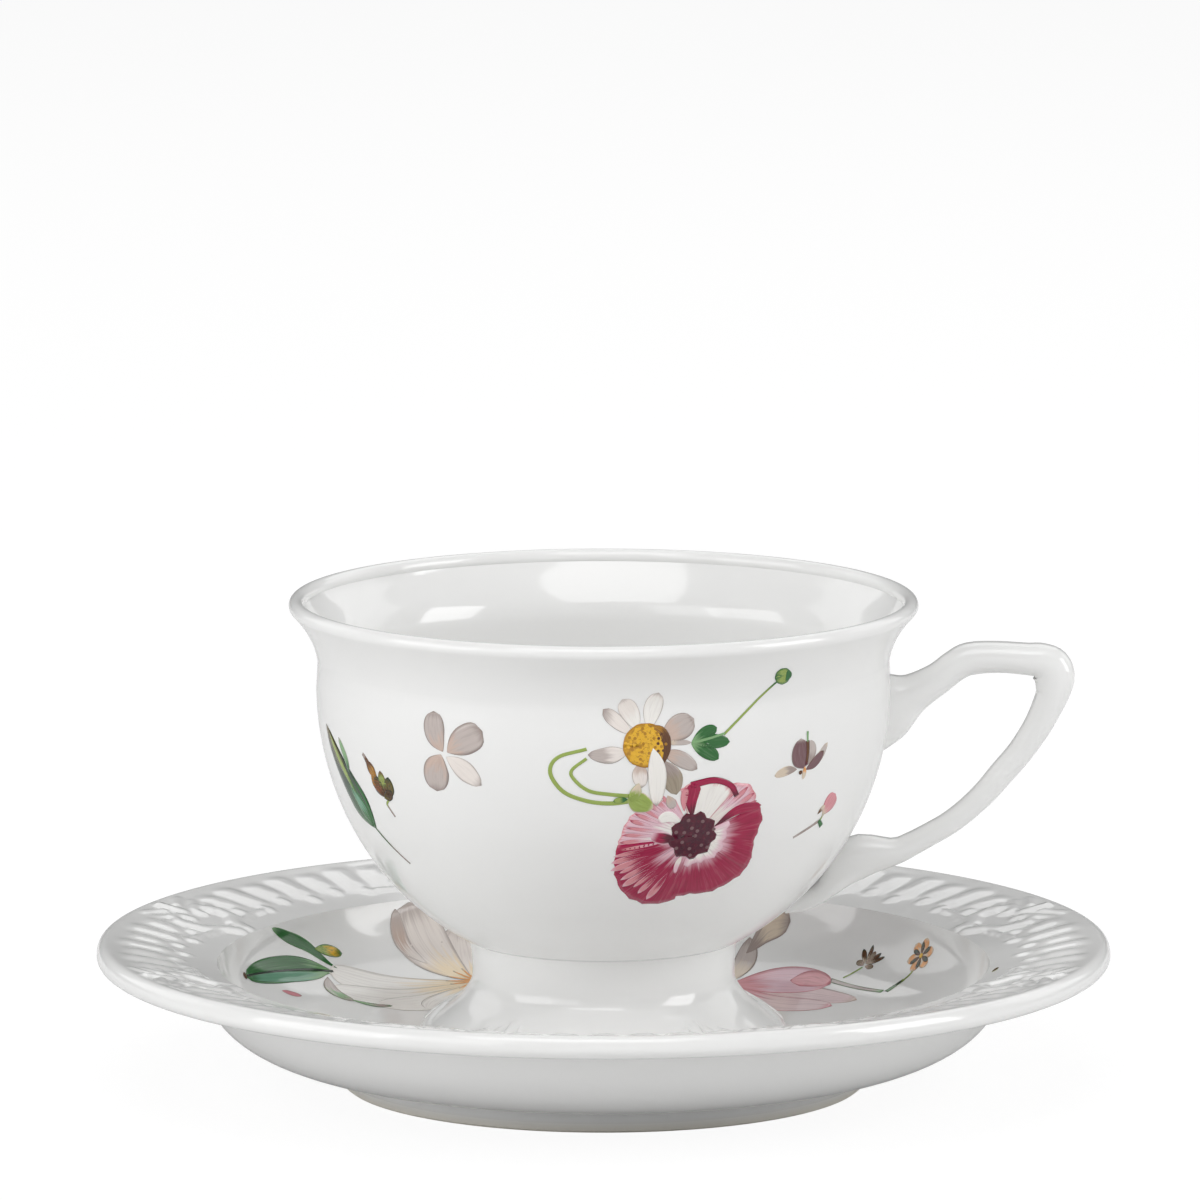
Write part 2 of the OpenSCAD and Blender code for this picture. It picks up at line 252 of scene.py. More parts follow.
class Meridian:
    """A turned surface walked along its outline: arc length to radius, height and facing."""

    def __init__(self, outline):
        self.points = outline
        self.marks = [0.0]
        for a, b in zip(outline, outline[1:]):
            self.marks.append(self.marks[-1] + math.dist(a, b))

    def at(self, walked):
        i = min(max(bisect_right(self.marks, walked) - 1, 0), len(self.points) - 2)
        (r0, z0), (r1, z1) = self.points[i], self.points[i + 1]
        span = self.marks[i + 1] - self.marks[i]
        share = (walked - self.marks[i]) / span
        return r0 + share * (r1 - r0), z0 + share * (z1 - z0), Vector((z1 - z0, 0, r0 - r1)).normalized()

    def walked_to(self, z):
        """Arc length at which the outline first reaches a height."""
        for i, ((_, z0), (_, z1)) in enumerate(zip(self.points, self.points[1:])):
            if z0 <= z <= z1 and z1 > z0:
                return self.marks[i] + (z - z0) / (z1 - z0) * (self.marks[i + 1] - self.marks[i])
        raise ValueError("the outline never reaches that height")


def round_face(radius, table):
    """Height and facing on a turned face, by radius; the table runs outwards."""
    i = min(max(bisect_right([p[0] for p in table], radius), 1), len(table) - 1)
    (r0, z0), (r1, z1) = table[i - 1], table[i]
    share = (radius - r0) / max(r1 - r0, 1e-6)
    return z0 + share * (z1 - z0), Vector((z0 - z1, 0, r1 - r0)).normalized()


# ---- Making pieces ----


def throw(outline, steps):
    """Turns a closed outline round the cup's axis: a sixteenth is spun and then doubled four times."""
    clay = bmesh.new()
    verts = [clay.verts.new((r, 0, z)) for r, z in outline]
    edges = [clay.edges.new(pair) for pair in zip(verts, verts[1:] + verts[:1])
             if (pair[0].co.x, pair[1].co.x) != (0, 0)]
    bmesh.ops.spin(clay, geom=verts + edges, axis=(0, 0, 1), cent=(0, 0, 0), dvec=(0, 0, 0),
                   angle=math.tau / 16, steps=steps // 16, use_merge=False, use_duplicate=False)
    for turn in (16, 8, 4, 2):
        copied = bmesh.ops.duplicate(clay, geom=clay.verts[:] + clay.edges[:] + clay.faces[:])["geom"]
        moved = [part for part in copied if isinstance(part, bmesh.types.BMVert)]
        bmesh.ops.rotate(clay, cent=(0, 0, 0), matrix=Matrix.Rotation(math.tau / turn, 3, "Z"), verts=moved)
    bmesh.ops.remove_doubles(clay, verts=clay.verts, dist=1e-4)
    bmesh.ops.recalc_face_normals(clay, faces=clay.faces)
    return clay


def finish(work, name, body, node, material, crease=0.6):
    """Turns a mesh in millimetres into a named piece that stands for a node; crease is in radians."""
    bmesh.ops.scale(work, vec=(MM, MM, MM), verts=work.verts)
    for edge in work.edges:
        edge.smooth = len(edge.link_faces) != 2 or edge.calc_face_angle(0) < crease
    for face in work.faces:
        face.smooth = True
    mesh = bpy.data.meshes.new(name)
    work.to_mesh(mesh)
    work.free()
    piece = bpy.data.objects.new(name, mesh)
    bpy.context.scene.collection.objects.link(piece)
    mesh.materials.append(material)
    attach(piece, body)
    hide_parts(node)
    return piece


def mark_bare(work, height=None):
    """Marks the ring at a height that stands free of glaze; a piece without one is glazed all over."""
    layer = work.verts.layers.float.new("bare")
    if height is not None:
        for vert in work.verts:
            vert[layer] = 1.0 if vert.co.z < height + 0.35 and vert.normal.z < -0.35 else 0.0


def set_radius(vert, radius):
    """Moves a vertex straight towards or away from the axis."""
    now = math.hypot(vert.co.x, vert.co.y)
    vert.co.x *= radius / now
    vert.co.y *= radius / now


def smooth_step(low, high, value):
    share = min(max((value - low) / (high - low), 0.0), 1.0)
    return share * share * (3 - 2 * share)


def ridge(distance, width):
    """Rounded ridge: 1 on its line and 0 beyond its width."""
    share = min(abs(distance) / width, 1.0)
    return math.sqrt(1 - share * share)


def to_line(x, y, points):
    """Distance from a point to a bent line, and how far along the line it falls."""
    best, where = 1e9, 0.0
    for i, ((ax, ay), (bx, by)) in enumerate(zip(points, points[1:])):
        dx, dy = bx - ax, by - ay
        t = min(max(((x - ax) * dx + (y - ay) * dy) / (dx * dx + dy * dy), 0.0), 1.0)
        gap = math.hypot(x - ax - t * dx, y - ay - t * dy)
        if gap < best:
            best, where = gap, (i + t) / (len(points) - 1)
    return best, where


RIM_REPEATS = 8
FLUTE = 4.9  # degrees from flute to flute
FAN_FLUTES = 3  # flutes on each side of a fan's middle
FAN_INNER, FAN_OUTER = 66.6, 77.2
SCROLL = [(1.2, 62.8), (2.6, 65.0), (5.4, 66.8), (6.4, 70.2), (4.6, 73.0), (2.4, 72.2), (2.2, 70.4)]
TENDRIL = [(13.0, 66.2), (9.4, 65.8), (6.0, 65.0), (3.0, 64.6), (0.0, 64.4)]
BUD = [(0.0, 73.0), (0.0, 77.0)]


def fluted_fan(across, radius):
    """Flutes that end in beads, as a share of the relief's height."""
    flute = round(across / FLUTE)
    if abs(flute) > FAN_FLUTES:
        return 0.0
    inner = FAN_INNER + (1.4 if flute % 2 else 0.0)
    outer = FAN_OUTER - (1.0 if flute % 2 else 0.0)
    middle = flute * FLUTE * (0.90 + 0.10 * (radius - inner) / (outer - inner))
    share = min(abs(across - middle) / (FLUTE * 0.5), 1.0)
    ends = (smooth_step(inner - 0.4, inner + 3.4, radius)
            * (1 - smooth_step(outer - 3.0, outer + 0.4, radius)))
    bead = math.hypot((across - flute * FLUTE) * math.radians(1) * radius, (radius - inner + 0.3) * 0.7)
    return max(0.72 * (1 - smooth_step(0.15, 1.0, share)) * ends, 0.62 * ridge(bead, 1.1))


def rim_relief(angle, radius):
    """Relief of the saucer's rim: fluted fans with curled leaves between them, as a share of its height."""
    turn = 360 / RIM_REPEATS
    across = (angle + turn / 2) % turn - turn / 2
    side = (turn / 2 - abs(across)) * math.radians(1) * radius
    height = fluted_fan(across, radius)
    gap, along = to_line(side, radius, SCROLL)
    height = max(height, (0.95 - 0.25 * along) * ridge(gap, 1.7 - 0.7 * along))
    height = max(height, 0.6 * ridge(to_line(side, radius, TENDRIL)[0], 0.9))
    height = max(height, 0.85 * ridge(to_line(side, radius, BUD)[0], 1.5))
    for leaf in range(3):
        gap, along = to_line(side, radius, [(2.4 + leaf * 1.2, 75.2 - leaf * 2.6),
                                            (6.6 + leaf * 0.7, 77.2 - leaf * 2.3)])
        height = max(height, 0.7 * ridge(gap, 1.0) * (1 - 0.5 * along))
    return height * (1 - smooth_step(FAN_OUTER, RELIEF_END, radius))


RELIEF_START, RELIEF_END = 60.0, 78.2
SUNK_GROUND = 0.14  # how far the ground between the leaves is sunk


def pressed(angle, radius):
    """How far the mould lifts or sinks the saucer's rim, in millimetres."""
    if not RELIEF_START < radius < RELIEF_END + 0.2:
        return 0.0
    sunk = SUNK_GROUND * smooth_step(62, 67, radius) * (1 - smooth_step(76.0, RELIEF_END, radius))
    return sizes().rim_relief / MM * (rim_relief(angle, radius) - sunk)


LEAF_REPEATS = 5
LEAF_RIBS = ((0, 7.4), (24, 7.0), (47, 6.6), (68, 6.4))  # lean in degrees, length
RIB_HALF = 10.5  # half a rib's width, in degrees
LEAF_HALF = 5.0  # half a leaf's width at the foot's edge
LEAVES_TOP = 9.5  # height over the foot's edge at which the relief has died away
LEAVES_TURN = 36  # degrees from the front to a leaf's middle


def foot_leaves(angle, height_mm):
    """Leaves and a bracket moulding round the lower foot, as a share of their height."""
    turn = 360 / LEAF_REPEATS
    x = abs((angle + turn / 2) % turn - turn / 2) * math.radians(1) * FOOT_R
    top = 0.0
    rho, phi = math.hypot(x, height_mm - 0.4), math.degrees(math.atan2(x, height_mm - 0.4))
    for rib, reach in LEAF_RIBS:
        if rho < reach:
            rise = smooth_step(0.2, 1.6, rho) * math.sqrt(1 - (rho / reach) ** 4)
            top = max(top, ridge(phi - rib, RIB_HALF) * rise)
    if x > LEAF_HALF:
        share = min((x - LEAF_HALF) / (turn / 2 * math.radians(1) * FOOT_R - LEAF_HALF), 1.0)
        line = 5.8 - 2.6 * math.sin(share * math.pi / 2) + 0.9 * math.exp(-((share - 1) / 0.16) ** 2)
        top = max(top, 0.75 * ridge(height_mm - line, 0.75), 0.35 * smooth_step(0.0, 0.8, line - height_mm))
    return top * smooth_step(0.6, 1.6, height_mm)


# ---- Materials ----


def sockets(group, direction, **kinds):
    """Adds named sockets to a node group."""
    names = {"F": "NodeSocketFloat", "C": "NodeSocketColor", "V": "NodeSocketVector"}
    for name, kind in kinds.items():
        group.interface.new_socket(name.replace("_", " "), in_out=direction, socket_type=names[kind])


class Wiring:
    """Adds nodes to a tree and joins them, left to right."""

    def __init__(self, tree):
        self.tree, self.column = tree, 0

    def add(self, kind, inputs=(), **settings):
        node = self.tree.nodes.new(kind)
        self.column += 1
        node.location = (170 * self.column, -60 * (self.column % 5))
        for name, value in settings.items():
            setattr(node, name, value)
        for key, value in dict(inputs).items():
            if isinstance(value, bpy.types.NodeSocket):
                self.join(value, node.inputs[key])
            else:
                node.inputs[key].default_value = value
        return node

    def join(self, socket, target):
        self.tree.links.new(socket, target)

    def math(self, operation, *values):
        return self.add("ShaderNodeMath", enumerate(values), operation=operation).outputs[0]

    def mix(self, share, a, b, blend="MIX"):
        node = self.add("ShaderNodeMix", {0: share, 6: a, 7: b}, data_type="RGBA", blend_type=blend)
        return node.outputs[2]

    def step(self, value, low, high, to_low=0.0, to_high=1.0):
        node = self.add("ShaderNodeMapRange", {0: value, 1: low, 2: high, 3: to_low, 4: to_high},
                        interpolation_type="SMOOTHSTEP")
        return node.outputs[0]

    def vector(self, x, y, z):
        return self.add("ShaderNodeCombineXYZ", {0: x, 1: y, 2: z}).outputs[0]

    def parts(self, value):
        return self.add("ShaderNodeSeparateXYZ", {0: value}).outputs

    def noise(self, vector, scale, detail=2.0, rough=0.5):
        inputs = {"Vector": vector, "Scale": scale, "Detail": detail, "Roughness": rough}
        return self.add("ShaderNodeTexNoise", inputs).outputs["Fac"]

    def times(self, a, b):
        return self.math("MULTIPLY", a, b)


def new_group(name):
    group = bpy.data.node_groups.new(name, "ShaderNodeTree")
    return group, Wiring(group)


def glaze_life_group():
    """Slow drift of tone and gloss, and the faint waviness of a fired glaze."""
    group, w = new_group("glaze_life")
    sockets(group, "INPUT", Place="V", Drift="F", Gloss="F")
    sockets(group, "OUTPUT", Tone="F", Roughness="F", Height="F")
    given, out = w.add("NodeGroupInput").outputs, w.add("NodeGroupOutput").inputs
    slow = w.noise(given["Place"], 26.0, 2.0)
    fine = w.noise(given["Place"], 520.0, 2.0)
    wave = w.noise(given["Place"], 95.0, 1.0)
    w.join(w.times(w.math("SUBTRACT", slow, 0.5), given["Drift"]), out["Tone"])
    w.join(w.math("ADD", given["Gloss"], w.times(w.math("SUBTRACT", fine, 0.4), 0.05)),
                     out["Roughness"])
    w.join(w.math("ADD", wave, w.times(fine, 0.06)), out["Height"])
    return group


def fired_ink_group():
    """Washes a petal from its root to its body, with streaks along it, a drawn edge and specks."""
    group, w = new_group("fired_ink")
    sockets(group, "INPUT", Root="C", Body="C", Edge="C", Flow="V", Wash="V", Rim="V")
    sockets(group, "OUTPUT", Color="C")
    given, out = w.add("NodeGroupInput").outputs, w.add("NodeGroupOutput").inputs
    along, across, seed = w.parts(given["Flow"])
    strength, count, start = w.parts(given["Wash"])
    width, specks, veins = w.parts(given["Rim"])
    lane = w.times(across, count)
    streak = w.noise(w.vector(lane, w.times(along, 1.3), seed), 1.0, 3.0, 0.6)
    pushed = w.math("MULTIPLY_ADD", w.math("SUBTRACT", streak, 0.5), w.times(strength, 2.4), along)
    body = w.step(pushed, w.math("SUBTRACT", start, 0.16), w.math("ADD", start, 0.16))
    colour = w.mix(body, given["Root"], given["Body"])
    thin = w.noise(w.vector(w.times(lane, 2.6), w.times(along, 2.0), seed), 1.0, 2.0, 0.6)
    shade = w.mix(1.0, colour, (0.74, 0.70, 0.72, 1.0), "MULTIPLY")
    colour = w.mix(w.times(w.step(thin, 0.50, 0.66), veins), colour, shade)
    light = w.mix(1.0, colour, (0.20, 0.18, 0.18, 1.0), "ADD")
    colour = w.mix(w.times(w.step(thin, 0.48, 0.30), w.times(veins, 0.30)), colour, light)
    outer = w.math("MAXIMUM", along, w.math("ABSOLUTE", across))
    ragged = w.math("MULTIPLY_ADD", w.math("SUBTRACT", thin, 0.5), 0.16, outer)
    edge = w.step(ragged, w.math("SUBTRACT", 1.0, width), 1.0)
    colour = w.mix(edge, colour, given["Edge"])
    grain = w.noise(w.vector(w.times(along, 9.0), w.times(across, 9.0), seed), 1.0, 3.0, 0.7)
    speck = w.times(w.step(grain, 0.50, 0.62), specks)
    w.join(w.mix(speck, colour, given["Edge"]), out["Color"])
    return group


def place_group(w, group, **inputs):
    return w.add("ShaderNodeGroup", inputs, node_tree=group).outputs


def shell(name):
    """A bare material with its surface shader and a wiring helper."""
    material = bpy.data.materials.new(name)
    material.use_nodes = True
    tree = material.node_tree
    return material, Wiring(tree), tree.nodes["Principled BSDF"]


def attribute(w, name):
    return w.add("ShaderNodeAttribute", attribute_name=name)


def groups():
    names = {"glaze_life": glaze_life_group, "fired_ink": fired_ink_group}
    return {name: bpy.data.node_groups.get(name) or make() for name, make in names.items()}


GLAZE_IOR = 1.52
GLAZE_DRIFT = 0.10  # how far the glaze's tone wanders
WAVE_STRENGTH, WAVE_HEIGHT = 0.10, 0.0006  # of the waviness; its height is in metres


def glazed(name, gloss):
    """A material with the life of a fired glaze."""
    material, w, surface = shell(name)
    place = w.add("ShaderNodeTexCoord").outputs["Object"]
    life = place_group(w, groups()["glaze_life"], Place=place, Drift=GLAZE_DRIFT, Gloss=gloss)
    waves = {"Strength": WAVE_STRENGTH, "Distance": WAVE_HEIGHT, "Height": life["Height"]}
    bump = w.add("ShaderNodeBump", waves)
    w.join(bump.outputs[0], surface.inputs["Normal"])
    surface.inputs["IOR"].default_value = GLAZE_IOR
    return material, w, surface.inputs, life


def porcelain_glaze():
    """Glazed white porcelain, with bare clay where the piece stands."""
    if "porcelain_glaze" in bpy.data.materials:
        return bpy.data.materials["porcelain_glaze"]
    material, w, surface, life = glazed("porcelain_glaze", 0.075)
    bare = attribute(w, "bare").outputs["Fac"]
    white = linear("porcelain")
    toned = w.mix(w.math("ADD", 0.5, life["Tone"]), (*(c * 0.985 for c in white[:3]), 1), white)
    w.join(w.mix(bare, toned, linear("bare_clay")), surface["Base Color"])
    rough = w.add("ShaderNodeMix", {0: bare, 2: life["Roughness"], 3: 0.7}).outputs[0]
    w.join(rough, surface["Roughness"])
    return material


def print_ink(name):
    """Ceramic colour fired on the glaze; each petal carries its own inks."""
    if name in bpy.data.materials:
        return bpy.data.materials[name]
    material, w, surface, life = glazed(name, 0.09)
    colours = {part.capitalize(): attribute(w, part + "_ink").outputs["Color"]
               for part in ("root", "body", "edge")}
    vectors = {part.capitalize(): attribute(w, part).outputs["Vector"] for part in ("flow", "wash", "rim")}
    inks = place_group(w, groups()["fired_ink"], **colours, **vectors)
    w.join(inks["Color"], surface["Base Color"])
    w.join(life["Roughness"], surface["Roughness"])
    return material


# ---- Prints: thin skins laid on the glaze ----

LAYER_STEP = 0.011  # millimetres between one layer of colour and the next
SKIN = 0.02  # millimetres of fired colour
SEED_STEP = 3.7  # sets each petal's streaks apart from the last
FAN_ROOT, FAN_STEPS = 0.6, 16
SOFT_CREASE = 2.0  # radians; edges bent less than this are shaded smooth


def wall_wrap(outline, bearing, z, side=1):
    """Lays a flat sheet on a turned wall; y climbs it. Bearing goes from +X towards +Y, in degrees."""
    meridian = Meridian(outline[::-1])
    home = meridian.walked_to(z)

    def place(x, y):
        r, height, facing = meridian.at(home + y)
        turn = math.radians(bearing) + math.asin(max(-0.999, min(0.999, x / r)))
        around = Vector((math.cos(turn), math.sin(turn), 0))
        normal = (around * facing.x + Vector((0, 0, facing.z))).normalized()
        return around * r + Vector((0, 0, height)), normal * side
    return place


def cup_wrap(bearing, z):
    """Lays a flat sheet on the cup's wall. Bearing goes from the front towards the handle."""
    return wall_wrap(bowl_outline(), bearing - 90, z)


def well_wrap(bearing, z):
    """Lays a flat sheet on the wall of the saucer's well, whose outline is walked the other way up."""
    return wall_wrap(saucer_face(), bearing, z, side=-1)


def saucer_wrap():
    """Lays a flat sheet on the saucer's upper face, in plan."""
    table = saucer_face()[::-1]

    def place(x, y):
        radius = math.hypot(x, y)
        height, facing = round_face(radius, table)
        height += pressed(math.degrees(math.atan2(y, x)), radius)
        out = Vector((x / radius, y / radius, 0))
        return Vector((x, y, height)), (out * facing.x + Vector((0, 0, facing.z))).normalized()
    return place


def along_line(points, share):
    """A point and direction on a smooth line through a few points."""
    last = len(points) - 1
    i = min(int(share * last), last - 1)
    t = share * last - i
    a, b, c, d = (Vector(points[max(0, min(last, k))]) for k in (i - 1, i, i + 1, i + 2))
    if i == 0:
        a = b * 2 - c
    if i == last - 1:
        d = c * 2 - b
    slope, square, cube = c - a, 2 * a - 5 * b + 4 * c - d, 3 * b - a - 3 * c + d
    spot = 0.5 * (2 * b + slope * t + square * t * t + cube * t ** 3)
    way = 0.5 * (slope + 2 * square * t + 3 * cube * t * t)
    return spot, way.normalized()


class Sheet:
    """Collects the petals, leaves and stems of one print."""

    def __init__(self):
        self.work, self.place, self.seed = bmesh.new(), None, 0.0
        layers = self.work.verts.layers
        self.inks = [layers.float_color.new(n) for n in ("root_ink", "body_ink", "edge_ink")]
        self.flow, self.wash, self.rim = (layers.float_vector.new(n) for n in ("flow", "wash", "rim"))

    def lay(self, shape, columns, rows, inks, layer, wash, rim):
        """Lays one skin. The shape turns along 0..1 and across -1..1 into sheet millimetres.

        inks names the colours of root, body and edge, or one for all three. wash is the streaks'
        strength, their count and where the body colour starts; rim is its width, specks and veins.
        """
        self.seed += SEED_STEP
        grid = bmesh.ops.create_grid(self.work, x_segments=columns, y_segments=rows, size=1.0)["verts"]
        lift = sizes().print_lift / MM + LAYER_STEP * layer
        names = inks.split()
        colours = [linear(name) for name in (names if len(names) == 3 else names * 3)]
        for vert in grid:
            along, across = (vert.co.x + 1) / 2, vert.co.y
            spot, facing = self.place(*shape(along, across))
            vert.co = spot + facing * lift
            for key, colour in zip(self.inks, colours):
                vert[key] = colour
            vert[self.flow] = (along, across, self.seed)
            vert[self.wash], vert[self.rim] = wash, rim
        faces = list(dict.fromkeys(f for v in grid for f in v.link_faces))
        bmesh.ops.recalc_face_normals(self.work, faces=faces)
        if self.place(*shape(0.5, 0.0))[1].dot(faces[len(faces) // 2].normal) < 0:
            bmesh.ops.reverse_faces(self.work, faces=faces)
        bmesh.ops.solidify(self.work, geom=faces, thickness=SKIN)

    @staticmethod
    def ribbon(line, width_at):
        """A shape that follows a line, with a half width for each share of its length."""
        def shape(along, across):
            spot, way = along_line(line, along)
            width = width_at(along)
            return spot.x - way.y * width * across, spot.y + way.x * width * across
        return shape

    def petal(self, line, half, inks, layer=1, wash=(0.25, 2.5, 0.45), rim=(0.14, 0, 0.25), full=0.55,
              blunt=0.5, fine=14):
        """A petal or leaf along a line, widest at full, with a rounder tip the smaller blunt is."""
        def width_at(along):
            swell = math.sin(min(along / full, 1.0) * math.pi / 2) ** 0.8
            if along > full:
                swell = max(1 - ((along - full) / (1 - full)) ** (1 / blunt), 0.0) ** 0.55
            return half * max(swell, 0.03)
        self.lay(self.ribbon(line, width_at), fine, max(4, fine // 2), inks, layer, wash, rim)

    def stem(self, line, half, inks, layer=1, fine=18, taper=0.25):
        """A thin stem whose width changes by taper along it, with its edge ink down both sides and over its
        far end.
        """
        shape = self.ribbon(line, lambda along: half * (1 - taper * along))
        self.lay(shape, fine, 4, inks, layer, (0.15, 1, 0.5), (0.25, 0, 0.3))

    def fan(self, start, stop, reaches, inks, layer, wash, rim, wavy=0.012):
        """A broad petal that opens from the middle between two bearings, its reach given at even steps."""
        def shape(along, across):
            share = (across + 1) / 2
            last = len(reaches) - 1
            spot, _ = along_line([(i / last, r) for i, r in enumerate(reaches)], share)
            angle = math.radians(start + (stop - start) * share)
            reach = spot.y * (1 + wavy * math.sin(angle * 31 + self.seed))
            radius = FAN_ROOT + (reach - FAN_ROOT) * along
            return radius * math.cos(angle), radius * math.sin(angle)
        self.lay(shape, FAN_STEPS, FAN_STEPS, inks, layer, wash, rim)

    def dot(self, centre, radius, inks, layer, rim=(0.3, 0.8, 0), squash=1.0, wavy=0.02, wash=(0.1, 3, 0.4)):
        """A round heart, seed or bud."""
        def shape(along, across):
            angle = math.pi * across
            reach = radius * (0.02 + 0.98 * along) * (1 + wavy * along * math.sin(angle * 9 + self.seed))
            return centre[0] + reach * math.cos(angle), centre[1] + reach * math.sin(angle) * squash
        self.lay(shape, max(4, int(radius * 4)), 32, inks, layer, wash, rim)

    def fire(self, motif, body, colour):
        """Merges the skins into the piece that stands for the motif's node."""
        bmesh.ops.remove_doubles(self.work, verts=self.work.verts, dist=1e-5)
        slot = colour + "_print"
        finish(self.work, motif + "_print", body, "print_" + motif, print_ink(slot + "_ink"),
               crease=SOFT_CREASE)


# ---- Motifs, drawn in sheet millimetres ----

DAISY_SPOT = (8.2, 61.5)  # bearing and height that the daisy, its stems and its leaves share
GOLDEN_TURN = 137.5  # degrees from one grain of a heart to the next


def anemone(s):
    """Crimson anemone with a dark, beaded heart."""
    def ray(angle, start, stop, half, inks, layer):
        way = (math.cos(math.radians(angle)), math.sin(math.radians(angle)))
        s.petal([(way[0] * r, way[1] * r) for r in (start, (start + stop) / 2, stop)], half, inks, layer,
                (0.5, 2, 0.45), (0.2, 0, 0.4), full=0.7, blunt=0.8, fine=10)

    s.fan(24, 60, (11, 12, 11.4, 9.4), "shell blush rose", 0, (0.3, 6, 0.55), (0.10, 0, 0.7))
    for angle, start, stop in ((27, 6.5, 11.6), (34, 7.5, 11.8), (42, 6.8, 11.5), (50, 6.2, 10.2)):
        ray(angle, start, stop, 0.42, "blush rose crimson", 1)
    s.fan(118, 192, (7.4, 8.7, 10.1, 11, 11.3, 11.8), "milk blush rose", 0, (0.45, 9, 0.5), (0.05, 0, 0.9))
    for i, angle in enumerate(range(128, 192, 7)):
        ray(angle, 4.6 + 1.1 * (i % 3), 9.6 + 0.22 * i, 0.30 + 0.05 * (i % 3), "blush rose crimson", 1)
    s.fan(186, 266, (11.6, 12.5, 13.5, 14.3, 14.2, 12.6), "blush crimson crimson", 1, (0.36, 8, 0.34),
          (0.04, 0, 0.9))
    for i, angle in enumerate((196, 201, 207, 212, 218, 224, 230, 237, 246)):
        ray(angle, 7.4 + 1.1 * (i % 2), 12.4 + 0.5 * (i % 3), 0.34 + 0.14 * (i % 3), "crimson rose blush", 2)
    s.fan(-97, -24, (12, 11.6, 12.3, 12.4, 12.6, 11.9), "blush crimson crimson", 2, (0.16, 7, 0.44),
          (0.05, 0, 0.8))
    s.fan(-36, 23, (12.3, 11.9, 11, 11.2, 11.9, 11.6), "blush crimson crimson", 3, (0.15, 6, 0.50),
          (0.06, 0, 0.8))
    s.fan(-98, 22, (5.6, 5.3, 5.9, 5.5, 6.2), "shell milk blush", 4, (0.2, 9, 0.6), (0.30, 0, 0.8), wavy=0.05)
    s.fan(50, 109, (9.2, 9.9, 9.7, 9.5, 9.1, 8.6), "milk milk rose", 3, (0.2, 4, 0.6), (0.11, 0, 0.25))
    s.petal([(-0.5, 3.2), (-0.9, 6.2), (-0.5, 9)], 1.15, "burgundy crimson crimson", 4, (0.3, 2, 0.3),
            (0.1, 0, 0.7), full=0.85)
    s.petal([(-1.9, 4.4), (-2.1, 6.4), (-1.9, 8.4)], 0.6, "rose rose crimson", 4, full=0.7)
    s.stem([(-1.2, 8.7), (2.6, 9.3), (5.4, 8.3), (6.7, 6.4)], 0.58, "crimson crimson burgundy", 4)
    s.petal([(3.4, 1.5), (7, 3.9), (11.2, 4.4)], 0.85, "burgundy crimson crimson", 5, (0.3, 3, 0.3),
            (0.1, 0, 0.6), full=0.75)
    s.petal([(-2.8, -0.2), (-4.6, -0.2), (-6.8, 0.4)], 1.1, "burgundy crimson blush", 5, (0.5, 4, 0.55),
            (0.3, 0, 0.7))
    s.petal([(-1.4, -3.6), (-1.9, -5.4), (-1.9, -7)], 0.45, "shell blush crimson", 5, full=0.3)
    s.petal([(-2.2, 2.6), (-4.4, 3.6), (-5.8, 2.8)], 1, "milk milk blush", 3)
    s.dot((0, 0), 3.7, "plum plum burgundy", 6, (0.25, 0.9, 0), squash=1.1, wavy=0.09, wash=(0.4, 6, 0.5))
    for i in range(44):
        angle = math.radians(i * GOLDEN_TURN)
        reach = 3.5 * math.sqrt((i + 0.5) / 44)
        spot = (reach * math.cos(angle), reach * 1.1 * math.sin(angle))
        s.dot(spot, 0.30, ("mauve", "burgundy", "plum")[i % 3], 7, (0.4, 0, 0))


